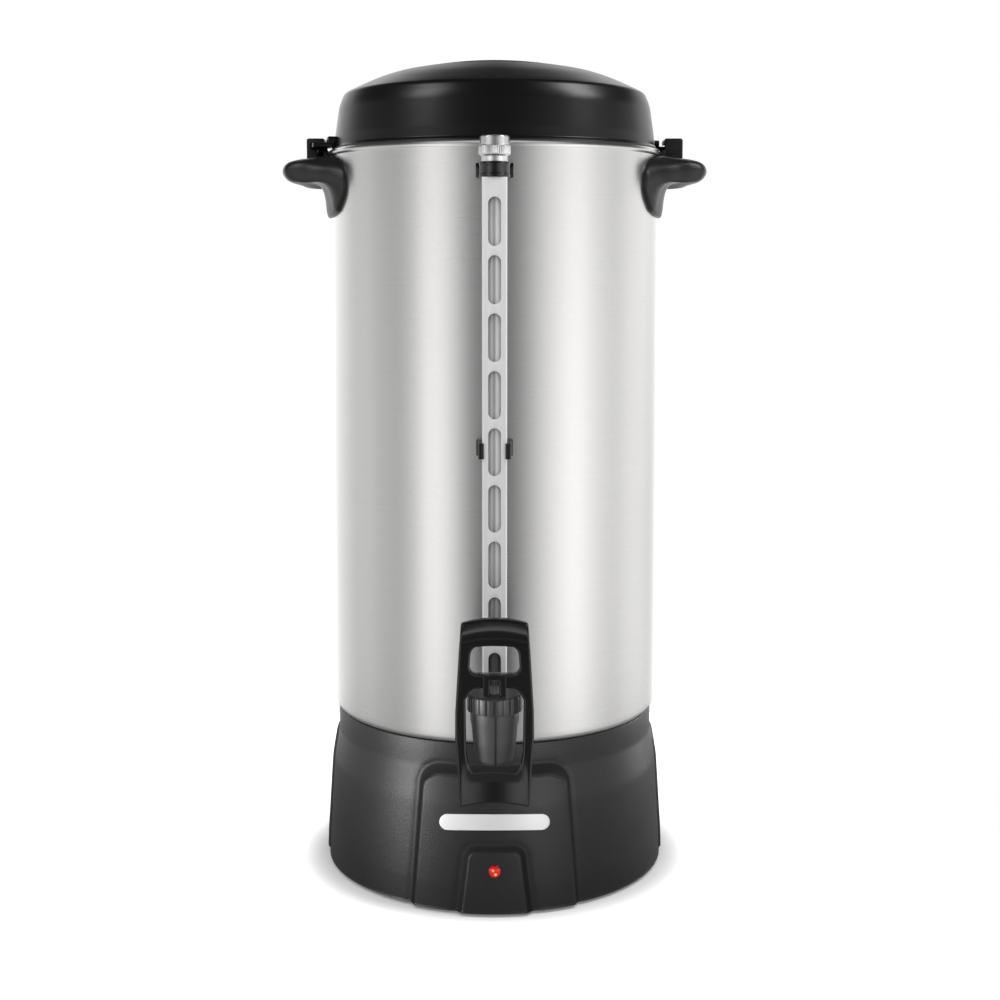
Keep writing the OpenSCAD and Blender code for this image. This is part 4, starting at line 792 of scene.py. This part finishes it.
# Sections of the right handle by degrees from its middle: (r, z) from the flange's lower edge out
# and over the grip to the flange's upper edge
SECTIONS = {
    0: [(114, 458.4), (116.3, 459.2), (117.5, 464), (118.1, 470), (119.6, 476.6), (123, 481.4),
        (130, 483.6), (137.6, 482.4), (143.8, 484.2), (146.6, 489.4), (144.4, 494.6), (138, 497.2),
        (127, 498.8), (118.9, 500.2), (114, 498.3)],
    13.3: [(114, 458.5), (116.3, 459.3), (117.4, 464), (118, 470), (119.5, 476.6), (123, 481.2),
           (130, 483.2), (138, 481.8), (144.4, 483.8), (147.5, 489.2), (145.2, 494.4), (138.8, 496.9),
           (127.4, 498.6), (118.9, 500), (114, 498.3)],
    17.5: [(114, 459), (116.2, 459.8), (117.3, 464.4), (118, 470.4), (119.6, 476.6), (123, 480.8),
           (130, 482.4), (137.8, 481), (144, 482.8), (146.9, 488.8), (144.5, 494), (138.4, 496.5),
           (127.4, 498.3), (118.8, 499.6), (114, 498.2)],
    19.6: [(114, 459.6), (116.3, 460.4), (117.4, 464.8), (118.3, 470.8), (120, 476.6), (123.4, 480.2),
           (129.4, 481.6), (135.2, 480.9), (139.6, 482.8), (141.4, 488.4), (139.8, 493.4), (135.2, 495.8),
           (126.4, 497.7), (118.6, 498.9), (114, 498.1)],
    21.5: [(114, 460.4), (116.5, 461.3), (117.8, 465.4), (118.8, 471.2), (120.6, 476.6), (123.8, 479.8),
           (128, 481.1), (131.6, 481.5), (134.2, 483.4), (135, 488), (133.6, 492), (130.2, 494.4),
           (124, 496.3), (118.2, 497.8), (114, 497.6)],
    23.8: [(114, 462), (116.7, 462.9), (118.2, 466.8), (119.3, 472), (121, 476.8), (123.2, 479.6),
           (125.4, 481), (127.2, 482.2), (128.6, 484.2), (128.8, 487.6), (127.6, 490.8), (125, 493),
           (121, 494.8), (117.4, 495.9), (114, 496.4)],
    26.1: [(114, 465.6), (116.7, 466.6), (118.1, 469.8), (119.2, 473.6), (120.3, 476.8), (121.2, 479.2),
           (121.9, 481.2), (122.4, 483), (122.6, 485), (122.5, 487.2), (121.8, 489.2), (120.6, 490.9),
           (118.6, 492.5), (116.5, 493.6), (114, 494.4)],
    28.3: [(114, 470.3), (116.3, 471.2), (117.4, 473.4), (118, 475.8), (118.3, 478), (118.5, 479.8),
           (118.6, 481.2), (118.6, 482.6), (118.5, 484), (118.2, 485.4), (117.8, 486.7), (117.3, 487.9),
           (116.7, 489), (115.8, 490), (114, 490.7)],
    29.8: [(114, 475.5), (115.2, 476), (115.8, 477), (116, 478.2), (116.1, 479.2), (116.2, 480.2),
           (116.2, 481), (116.2, 481.8), (116.1, 482.6), (115.9, 483.4), (115.7, 484.2), (115.5, 484.9),
           (115.2, 485.5), (114.8, 486), (114, 486.3)],
    30.5: [(114, 479.2 + 0.2 * i) for i in range(15)],
}


def handle(side):
    """One handle: the sections skinned to a solid, with the lid's catch standing on it."""
    stations = sorted(SECTIONS)
    sections = np.array([SECTIONS[a] for a in stations])
    all_stations = [-a for a in stations[:0:-1]] + stations
    sections = np.concatenate([sections[:0:-1], sections])
    angles = np.linspace(-stations[-1], stations[-1], HANDLE_COLUMNS)
    skin = threaded(all_stations, sections, angles)
    fine_way = np.linspace(0, len(SECTIONS[0]) - 1, HANDLE_ROWS)
    bm = bmesh.new()
    loops = []
    for angle, section in zip(np.radians(angles), skin):
        face = threaded(range(len(section)), section, fine_way)
        wall_z = np.linspace(face[-1, 1], face[0, 1], BACK_ROWS)[1:-1]
        loop = [(max(r, TANK_R + 0.05), z) for r, z in [*face, *[(TANK_R, z) for z in wall_z]]]
        loops.append([bm.verts.new((r * math.cos(angle), r * math.sin(angle), z)) for r, z in loop])
    for here, there in zip(loops, loops[1:]):
        for i in range(len(here)):
            j = (i + 1) % len(here)
            bm.faces.new((here[i], here[j], there[j], there[i]))
    bm.faces.new(loops[0])
    bm.faces.new(loops[-1])
    bmesh.ops.recalc_face_normals(bm, faces=bm.faces)
    catch = upright(plate([[(118.0, 496), (130.3, 496), *arc(128.8, 511.7, 1.5, 0, 90, 4),
                            *arc(119.2, 512.2, 1, 90, 180, 4), (118, 509.7), (127.6, 509.7),
                            (127.6, 505.7), (123, 505.7), (123, 500), (118, 500)]], CATCH_L, 0.45))
    stop = block((117.95, -CATCH_L / 2 + 0.1, 499.5), (130.5, -CATCH_L / 2 + 1.6, 512.4), 0.4)
    heel = block((115.85, -CATCH_L / 2, 497.6), (118.4, CATCH_L / 2, 505.2), 0.3)
    whole = joined(bm, catch, stop, heel)
    if side < 0:
        bmesh.ops.rotate(whole, cent=(0, 0, 0), matrix=Matrix.Rotation(math.pi, 3, "Z"), verts=whole.verts)
    return whole


handle_black = moulded("handle_black", 0.006, 0.011, 0.4, 0.0008, 0.00004, 0.01)
for node, side in (("handle_left", -1), ("handle_right", 1)):
    piece(node, handle(side), "urn", handle_black, 50)


# -------------------- level gauge
# A glass tube in a slotted shield of folded aluminium. Its foot stands in the faucet, its head
# in a glossy black clamp under a knurled cap, and a clip holds its middle.

GAUGE_Y = -126.6
SHIELD_TOP = 480.5
SHIELD_FOOT = 155.2
SHIELD_W = 15.8
SHIELD_T = 0.8
SHIELD_Y = GAUGE_Y - 8
SHIELD_SIDE = 15.3
FOLD = 1.1
# The slots in the shield's front, counted down from its top
SLOTS = 9
SLOT_R = 4
SLOT_DROP = 12.1
SLOT_PITCH = 36.04
SLOT_LOW_END = 26.4

glass = Finish("gauge_glass", Roughness=0.04, IOR=1.47)
smear = glass.noise(0.01, (1, 1, 0.3))
across, _, height = glass.millimetres()
# A painted shade line where the tube's far wall shows, a painted highlight down its right half, smears, and
# a colour that darkens towards the tube's foot
painted_wall_shade = 1 - (across + 0.4).absolute().rise(0.3, 1.3)
painted_light_and_smear = across.rise(0.4, 2.2) * 0.3 + 0.62 - painted_wall_shade * 0.4 + smear * 0.2
glass.feed("Base Color", glass.mix((painted_light_and_smear * height.rise(170, 250)).at_least(0.0), grey(0.14), grey(1.0)))
glass.feed("Alpha", 0.82 + smear * 0.1)
tube = lathed([(3.8, 142.2, 0.3), (5, 142.2, 0.5), (5, 497.0, 0.5), (3.8, 497.0, 0.3)], 3, 48, (0, GAUGE_Y))
sliced(tube, "z", range(160, 490, 30))
piece("gauge_glass", tube, "urn", glass)

mill = lined("folded_aluminium", grey(0.82), grey(0.9), 0.4, 0.1, 0.02, 0.00002, (14, 14, 1), Metallic=0.35)
slots = []
for number in range(SLOTS):
    top = SHIELD_TOP - SLOT_DROP - SLOT_PITCH * number
    slots.append(arc(0, top - SLOT_R, SLOT_R, 0, 180, 12) + arc(0, top - SLOT_LOW_END, SLOT_R, 180, 360, 12))
# The flat sheet is folded back at both sides of its front
bend_at = SHIELD_W / 2 - FOLD
bend = FOLD * math.pi / 2 - 0.2
reach = bend_at + bend + SHIELD_SIDE
flat = filleted(mirrored([(reach, SHIELD_FOOT, 0.4), (reach, SHIELD_TOP, 0.4)]), steps=2)
shield = plate([flat] + slots, SHIELD_T, 0.12)
sliced(shield, "x", [s * (bend_at + i * 0.25) for s in (-1, 1) for i in range(9)])
for v in shield.verts:
    side = 1 if v.co.x > 0 else -1
    along, skin = abs(v.co.x), SHIELD_T / 2 - v.co.z
    if along <= bend_at:
        v.co = (v.co.x, SHIELD_Y + skin, v.co.y)
    else:
        share = min((along - bend_at) / bend, 1)
        rest = max(along - bend_at - bend, 0)
        a = share * math.pi / 2
        v.co = (side * (bend_at + (FOLD - skin) * math.sin(a)),
                SHIELD_Y + FOLD - (FOLD - skin) * math.cos(a) + rest, v.co.y)
bmesh.ops.recalc_face_normals(shield, faces=shield.faces)
shield_back = block((-7.4, -119.0, SHIELD_FOOT), (7.4, -118.2, SHIELD_TOP), 0.12)
piece("gauge_shield", joined(shield, shield_back), "urn", mill, 30)

gloss = moulded("gloss_black", 0.003, 0.005, 0.12, 0.004, 0.00001, Coat_Weight=0.3, Coat_Roughness=0.04)
clamp = joined(
    lathed([(5.3, 480.5, 0.2), (9.75, 480.5, 0.5), (9.75, 482.4, 0.3), (9.45, 482.8, 0.2),
            (9.45, 487.6, 0.2), (9.75, 488, 0.3), (9.75, 489.9, 0.5), (7.2, 489.9, 0.2)],
           3, 72, (0, GAUGE_Y)),
    block((-8.2, GAUGE_Y + 1, 480.6), (8.2, -114.1, 489.8), 0.5),
    block((-12, -121.5, 480.6), (12, -114.05, 489.8), 0.7))
piece("gauge_clamp", clamp, "urn", gloss)

bright = lined("turned_aluminium", grey(0.78), grey(0.92), 0.28, 0.1, 0.01, 0.00003, (1, 1, 60), 2.0,
               Metallic=1.0)
CAP_Z = 489.9
KNURLS = 48
KNURL = 0.022
# Radius, height over the clamp and rounding of the cap's corners
CAP = [(5.1, -5, 0.2), (7.1, -5, 0.3), (7.1, 0.1, 0.1), (8.15, 0.1, 0.3), (8.15, 3.4, 0.3),
       (9.4, 4.4, 0.3), (10.05, 5.2, 0.2), (10.05, 9.8, 0.3), (9.3, 10.3, 0.2), (9.3, 15.6, 0.7),
       (8.2, 16.4, 0.6), (5.1, 16.4, 0.2), (5.1, 10, 0.1)]
cap = lathed([(r, CAP_Z + up, rounding) for r, up, rounding in CAP], 3, 288)
for v in cap.verts:
    r = math.hypot(v.co.x, v.co.y)
    if r > 9.7 and CAP_Z + 4.9 < v.co.z < CAP_Z + 10.2:
        swell = 1 - KNURL * (0.5 + 0.5 * math.cos(KNURLS * math.atan2(v.co.y, v.co.x)))
        v.co.x *= swell
        v.co.y *= swell
bmesh.ops.translate(cap, vec=(0, GAUGE_Y, 0), verts=cap.verts)
lid_of_cap = turned([(0, CAP_Z + 10), (5.3, CAP_Z + 10), (5.3, CAP_Z + 16.45), (0, CAP_Z + 16.5)],
                    48, (0, GAUGE_Y))
piece("gauge_cap", joined(cap, lid_of_cap), "urn", bright, 25)

satin_black = moulded("satin_black", 0.014, 0.024, 0.3, 0.0009, 0.00002)
collar = lathed([(5.3, 150, 0.2), (8.5, 150, 0.5), (8.5, 155, 0.7), (5.3, 155, 0.3)], 3, 64, (0, GAUGE_Y))
piece("gauge_collar", collar, "urn", satin_black)

CLIP_Z, CLIP_H = 304.7, 10.2
clip_wing = filleted([(8.2, -136, 0.6), (10.3, -136, 0.8), (10.3, -119, 3), (11.9, -116.6, 1),
                      (11.9, -114.2), (-11.9, -114.2), (-11.9, -116.6, 1), (-10.3, -119, 3),
                      (-10.3, -136, 0.8), (-8.2, -136, 0.6), (-8.2, -118.1, 0.4), (8.2, -118.1, 0.4)],
                     steps=4)
clip_parts = [plate([clip_wing], CLIP_H, 0.35)]
bmesh.ops.translate(clip_parts[0], vec=(0, 0, CLIP_Z + CLIP_H / 2), verts=clip_parts[0].verts)
for side in (-1, 1):
    clip_parts.append(block((min(side * 6.8, side * 9.6), -136.0, CLIP_Z + 0.1),
                            (max(side * 6.8, side * 9.6), -134.75, CLIP_Z + CLIP_H - 0.1), 0.35))
piece("gauge_clip", joined(*clip_parts), "urn", satin_black)


# -------------------- faucet
# A charcoal moulding: a barrel and flange clamped through the tank, a socket for the gauge glass
# and a tapered spout with the seam of its mould down the front.

SPOUT_Y = -162.6
SHANK_Z = 134.0
SEAM_X = 0.5
SEAM_OUT = 0.25
spout = lathed([(5.5, 125, 0), (5.5, 117.6, 0.4), (9.8, 117.6, 1.4), (11.5, 119.6, 3), (13.5, 131, 50),
                (14.95, 147, 30), (14.95, 151.8, 0.3), (13.2, 151.8, 0.2), (13.2, 155, 0.5),
                (11.5, 155, 0.3), (11.5, 126, 0.5)], 5, 128, (0, SPOUT_Y))
seam = upright(plate([[(-SEAM_X, 119), (SEAM_X, 119), (SEAM_X, 151), (-SEAM_X, 151)]], 1, 0.1))
sliced(seam, "z", range(120, 151, 2))
for v in seam.verts:
    line = np.interp(v.co.z, [117.6, 119.6, 131, 147], [9.8, 11.3, 13.45, 14.9])
    v.co.y += SPOUT_Y - line + SEAM_OUT


def bar_y(profile):
    """Spins an outline (radius, y) about the faucet's shank, which runs from front to back."""
    bm = turned(profile, 48)
    lying = Matrix.Translation((0, 0, SHANK_Z)) @ Matrix.Rotation(-math.pi / 2, 4, "X")
    bmesh.ops.transform(bm, matrix=lying, verts=bm.verts)
    return bm


barrel = bar_y([(0, -150), (10, -150), (10, -124), (16, -121.5), (16, -116.1), (0, -116.1)])
shank = bar_y([(0, -117), (9, -117), (9, -100.5), (0, -100.5)])
socket_post = turned([(0, 134), (8.5, 134), (8.5, 150), (0, 150)], 48, (0, GAUGE_Y))
faucet = remeshed(joined(spout, barrel, shank, socket_post), 0.6, 5)
faucet_charcoal = moulded("faucet_charcoal", 0.022, 0.04, 0.46, 0.0008, 0.0001, 0.01)
# A thin painted shade line runs down the faucet at x 0.6 mm, just right of the seam's rib, standing in for
# the rib's shaded side
off_painted_seam_shade = (faucet_charcoal.millimetres()[0] - 0.6).absolute()
faucet_charcoal.lay(1 - off_painted_seam_shade.rise(0.35, 0.95), grey(0.002))
piece("faucet_body", joined(faucet, seam), "urn", faucet_charcoal, 60, "base and faucet")

# Ribbed bonnet, screwed down over the spout's thread
BONNET_RIBS = 22
RIB = 0.058
RIB_R = 15.5
bonnet = lathed([(14.98, 151.2, 0.2), (16.3, 151.2, 0.6), (16.3, 161.2, 0.7), (15.2, 161.9, 0.6),
                 (14.2, 161.4, 0.5), (2.6, 161.4, 0.3), (2.6, 159, 0.1), (13.3, 157, 0.2),
                 (13.3, 152, 0.2), (14.98, 152, 0.2)], 4, BONNET_RIBS * 12)
for v in bonnet.verts:
    r = math.hypot(v.co.x, v.co.y)
    if r > RIB_R:
        phase = (math.atan2(v.co.x, -v.co.y) * BONNET_RIBS / (2 * math.pi)) % 1
        rib = soft_step((0.43 - abs(phase - 0.5)) / 0.12) * soft_step((r - RIB_R) / 0.5)
        v.co.x *= 1 + RIB * float(rib)
        v.co.y *= 1 + RIB * float(rib)
bmesh.ops.translate(bonnet, vec=(0, SPOUT_Y, 0), verts=bonnet.verts)
bonnet_black = moulded("bonnet_black", 0.02, 0.036, 0.34, 0.0008, 0.00003)
piece("bonnet", bonnet, "urn", bonnet_black, 50, "base and faucet")

# Valve stem, a pale nylon rod that the lever's pin lifts
stem = turned(filleted([(0, 128), (2.4, 128, 0.2), (2.4, 134.9, 0), (7, 135, 0.2), (7, 136.2, 0.2),
                        (2.4, 136.2, 0), (2.4, 161, 0), (2.9, 162, 0.3), (2.9, 173.6, 1.5), (0, 173.6)],
                       steps=5, closed=False), 48, (0, SPOUT_Y))
nylon = moulded("stem_nylon", 0.62, 0.72, 0.4, 0.0008, 0.00002)
piece("valve_stem", stem, "valve_stem", nylon)


# -------------------- lever
# Glossy black moulding, pushed by a cup at its hollow paddle. Two rails run up to a rolled head;
# two ears between them hold the pin of the valve stem and bear on the bonnet as round cams. The
# lower edge of the opening is dished, so that it clears the spout when the lever is pushed.

LEVER_BACK = -169.1
LEVER_T = 6.5
LEVER_FOOT = 92.6
# The paddle's hollow: half its width, where it is full and where it ends, its depth, and how much
# deeper it is in front
HOLLOW_HALF = 20.8
HOLLOW_FULL_Z, HOLLOW_END_Z = 106, 130
HOLLOW = 3.4
HOLLOW_FRONT = 1.8
# The dish in the opening's lower edge: its half width, the height that it starts from and the height
# of the edge's top, its depth at the back, and how much less it is in front
DISH_HALF = 16.5
DISH_FROM_Z, DISH_TOP_Z = 104, 118
DISH = 4.4
DISH_LESS = 3.4
FOOT_BOW = 0.7
HEAD_BOW = 3.0
outside = filleted(mirrored([(21.4, LEVER_FOOT, 1.4), (24.4, 137, 60), (24.3, 153, 60), (21.6, 198, 2)]),
                   steps=8)
opening = filleted(mirrored([(15.2, 115.2, 4.5), (17.5, 127, 20), (17.9, 160.5, 3), (14.2, 168, 7),
                             (3.3, 168, 0.5), (3.3, 173.4, 0.6)]), steps=7)
window = filleted(mirrored([(15.6, 176.8, 4.6), (14.3, 194.6, 6.2)]), steps=7)
lever = upright(plate([outside, opening, window], LEVER_T, 1.3, 3), LEVER_BACK - LEVER_T / 2)
sliced(lever, "z", list(np.arange(95, 132, 1.5)) + list(range(134, 196, 6)))
sliced(lever, "x", np.arange(-20, 20.5, 2))
for v in lever.verts:
    middle = max(1 - (v.co.x / HOLLOW_HALF) ** 2, 0)
    low = 1 - float(soft_step((v.co.z - HOLLOW_FULL_Z) / (HOLLOW_END_Z - HOLLOW_FULL_Z)))
    front = (LEVER_BACK - v.co.y) / LEVER_T
    v.co.y += middle * low * (HOLLOW + HOLLOW_FRONT * front)
    if v.co.z < DISH_TOP_Z:
        below_spout = soft_step((v.co.z - DISH_FROM_Z) / 11) * soft_step((DISH_HALF - abs(v.co.x)) / 3)
        v.co.z -= (DISH - DISH_LESS * front) * float(below_spout)
    v.co.z += FOOT_BOW * middle * (1 - float(soft_step((v.co.z - 94) / 12)))
roll = plate([filleted([(0, 194.6, 2), (0.3, 205, 9), (-4.6, 212.7, 4), (-10.4, 212.5, 3), (-13.5, 205.8, 9),
                        (-13.3, 200.6, 1.6), (-7.4, 199.8, 1.5), (-7.2, 194.6, 1)], steps=9)], 43.6, 1.2, 3)
sliced(roll, "z", np.arange(-20, 20.5, 2))
# The head narrows and bows towards its top
for v in roll.verts:
    across, back, tall = v.co.z, v.co.x, v.co.y
    width = np.interp(tall, [191, 197, 212], [21.7, 21.7, 20.7]) / 21.8
    bow = HEAD_BOW * (across / 21) ** 2 * min(max((tall - 191) / 6, 0), 1)
    v.co = (across * width, LEVER_BACK + back, tall - bow)
bmesh.ops.recalc_face_normals(roll, faces=roll.faces)
pin_yoke = filleted([(-7.2, 163, 0.5), (-3.3, 163, 0.3), (-3.3, 173.4, 0.3), (3.3, 173.4, 0.3),
                     (3.3, 163, 0.3), (7.2, 163, 0.5), (7.2, 176.6, 0.6), (-7.2, 176.6, 0.6)], steps=3)
ear_plan = filleted([(-175.4, 162.4, 2), (-175.4, 174.2, 0.6), (-160.2, 174.2, 3.6), (-158.6, 166.4, 3.4),
                     (-165.2, 166.2, 2), (-167, 162.1, 4)], steps=5)
to_side = Matrix.Rotation(math.pi / 2, 4, "Z") @ Matrix.Rotation(math.pi / 2, 4, "X")
ears = [upright(plate([pin_yoke], 1.8, 0.35), LEVER_BACK - LEVER_T + 0.3)]
for side in (-1, 1):
    ear = plate([ear_plan], 4.5, 0.5)
    bmesh.ops.transform(ear, matrix=Matrix.Translation((side * 4.95, 0, 0)) @ to_side, verts=ear.verts)
    ears.append(ear)
lever_gloss = moulded("lever_gloss", 0.003, 0.006, 0.2, 0.003, 0.00001, Coat_Weight=0.25,
                      Coat_Roughness=0.05)
piece("lever", joined(lever, roll, *ears), "lever", lever_gloss, 40, "lever")


# -------------------- lid
# A double-skinned black lid with a soft bead-blasted grain, domed on top, with a finger well and
# a grip bar screwed across it. Two lugs with tongues turn under the catches of the handles.

LIP_Z = 505.1
WELL_TOP_R = 38.5
WELL_FLOOR = 544.5
LOCK_TURN = 9.5
LUG_L = 18
DOME = [(41, 560.2), (46, 560.7), (51, 560.7), (60, 559.3), (69, 557.4), (76, 555.3), (83, 552.8),
        (90, 549.8), (98, 546.1)]
dome_r, dome_z = np.array(DOME).T
dome = [(r, float(threaded(dome_r, dome_z, [r])[0])) for r in np.linspace(96, 42.5, 40)]
lid_outside = filleted([(113.2, LIP_Z, 0.2), (113.3, 505.8, 0.4), (111.7, 507.5, 1.0), (111.0, 514, 40),
                        (107.9, 535, 30), (104.6, 542.9, 6), (98, 546.1)], steps=10, closed=False)[1:]
lid_inside = filleted([(WELL_TOP_R, 559, 0), (WELL_TOP_R, WELL_FLOOR, 2.5), (0, WELL_FLOOR)], closed=False)
shell = [(113.2, LIP_Z)] + lid_outside + dome + arc(WELL_TOP_R + 2.5, 558.4, 2.5, 80, 180, 6)
shell += lid_inside[1:]
# The skin under the shell, from the well's floor out to the spigot that holds the seal
under = filleted([(0, WELL_FLOOR - 2.5), (WELL_TOP_R + 2.5, WELL_FLOOR - 2.5, 2),
                  (WELL_TOP_R + 2.5, 557.6, 1), (84, 549.6, 10), (99, 543, 6), (103.6, 536, 10),
                  (108.6, 512, 2), (108.6, 506.6, 0.5), (109.6, 506.4, 0.4), (109.6, 498.2, 0),
                  (111.6, 496.2, 0.5), (111.6, LIP_Z, 0.2)], steps=4, closed=False)
lid = turned(shell + under, 192, closed=True)


def ring_piece(r1, r2, z1, z2, length, turn, edge):
    """A piece of ring about the urn's axis, that long round its outer edge."""
    bm = bmesh.new()
    corners = [bm.verts.new((r, 0, z)) for r, z in ((r1, z1), (r2, z1), (r2, z2), (r1, z2))]
    section = bm.faces.new(corners)
    angle = length / r2
    bmesh.ops.rotate(bm, cent=(0, 0, 0), matrix=Matrix.Rotation(math.radians(turn) - angle / 2, 3, "Z"),
                     verts=bm.verts)
    bmesh.ops.spin(bm, geom=[section], cent=(0, 0, 0), axis=(0, 0, 1), angle=angle, steps=10)
    bmesh.ops.recalc_face_normals(bm, faces=bm.faces)
    sharp = [e for e in bm.edges if len(e.link_faces) == 2 and e.calc_face_angle() > 0.6]
    bmesh.ops.bevel(bm, geom=sharp, offset=edge, segments=2, profile=0.5, affect="EDGES", material=-1)
    return bm


lugs = []
for side in (0, 180):
    lugs.append(ring_piece(107.5, 117, 508.3, 513.4, LUG_L, side + LOCK_TURN, 0.7))
    lugs.append(ring_piece(108, 127.1, 506.2, 509.2, LUG_L, side + LOCK_TURN, 0.4))
lid_black = moulded("lid_black", 0.0015, 0.0035, 0.3, 0.0011, 0.00001)
piece("lid_shell", joined(lid, *lugs), "lid", lid_black, 45)

BAR_TOP = 566.4
BAR_SAG = 12.6
BAR_W = 24
bar_top = [(x, BAR_TOP - BAR_SAG * (x / 84.0) ** 2) for x in np.linspace(-36.5, 36.5, 21)]
bar = plate([[(-38.2, 544.6), (-38.2, 561.6), *bar_top, (38.2, 561.6), (38.2, 544.6)][::-1]], BAR_W, 0.9, 3)
grip_black = moulded("grip_black", 0.002, 0.0045, 0.22, 0.0009, 0.00002)
piece("lid_grip", upright(bar), "lid", grip_black)


# -------------------- parts that keep their shape
# Sheet, turned and bought-in parts inside the urn and under it: each keeps its own form and gets
# the finish of what it is made of.

steel = lined("screw_steel", grey(0.5, 0.01), grey(0.66, 0.01), 0.26, 0.16, 0.002, 0.00002, Metallic=1.0)


def sheet_metal(name, dark, light, roughness, grain, stretch=(1, 1, 1), warmth=0.0):
    """Bare metal with rolling or turning lines and soft dull patches."""
    finish = Finish(name, Metallic=1.0)
    lines = finish.noise(grain, stretch, detail=3.0)
    patch = finish.noise(0.03)
    return finish.dress(lines * 0.6 + patch * 0.4, grey(dark, warmth), grey(light, warmth),
                        roughness + patch * 0.1 + lines * 0.06, lines, 0.00003)


def coloured(name, deep, pale, roughness):
    """Fired clay, enamel or wire covering: one colour in two depths, slightly mottled."""
    return lined(name, deep, pale, roughness, 0.12, 0.003, 0.00005)


spun = sheet_metal("spun_aluminium", 0.66, 0.82, 0.24, 0.006)
drawn_tube = sheet_metal("drawn_aluminium", 0.7, 0.84, 0.2, 0.01, (20, 20, 1))
cover_steel = sheet_metal("cover_steel", 0.42, 0.55, 0.34, 0.01)
reflector = sheet_metal("reflector_aluminium", 0.7, 0.85, 0.16, 0.02)
sheath = sheet_metal("heater_sheath", 0.16, 0.34, 0.42, 0.004, warmth=0.06)
band = sheet_metal("band_metal", 0.36, 0.5, 0.34, 0.004, warmth=0.05)
pins = sheet_metal("pin_metal", 0.6, 0.75, 0.2, 0.003, warmth=0.03)
fuse = sheet_metal("fuse_metal", 0.55, 0.7, 0.25, 0.003)
spring = sheet_metal("spring_steel", 0.4, 0.58, 0.22, 0.003)
ceramic = coloured("thermostat_ceramic", (0.62, 0.58, 0.5, 1), (0.78, 0.75, 0.68, 1), 0.55)
brown = coloured("wire_brown", (0.12, 0.045, 0.02, 1), (0.18, 0.07, 0.03, 1), 0.4)
blue = coloured("wire_blue", (0.02, 0.09, 0.34, 1), (0.03, 0.14, 0.45, 1), 0.4)
wire_grey = coloured("wire_grey", (0.2, 0.2, 0.2, 1), (0.28, 0.28, 0.28, 1), 0.45)
neon = coloured("lamp_glass", (0.8, 0.25, 0.1, 1), (0.95, 0.45, 0.2, 1), 0.1)
seal = moulded("seal_rubber", 0.028, 0.045, 0.6, 0.001, 0.00005)

KEPT = {
    steel: ["bottom_cover_screws", "inlet_screws", "mounting_studs", "stud_nuts", "handle_screws",
            "gauge_screws", "gauge_nuts", "faucet_nut", "lever_pin", "lid_grip_screws",
            "thermostat_bracket", "pump_washer"],
    cover_steel: ["bottom_cover"], pins: ["inlet_pins"], reflector: ["heat_reflector"],
    sheath: ["heater_ring"], band: ["keep_warm_band"], ceramic: ["thermostat"],
    fuse: ["thermal_fuse"], brown: ["wire_live", "wire_link"], blue: ["wire_neutral"],
    wire_grey: ["wires_lamp"], neon: ["pilot_lamp"], spring: ["valve_spring"],
    seal: ["handle_washers", "gauge_lower_seal", "gauge_cap_seal", "faucet_seal_outer",
           "faucet_seal_inner", "valve_seat_cup", "lid_seal"],
    spun: ["basket", "basket_lid"], drawn_tube: ["pump_tube"],
}
for finish, names in KEPT.items():
    for name in names:
        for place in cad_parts[name].material_slots:
            place.material = finish.material
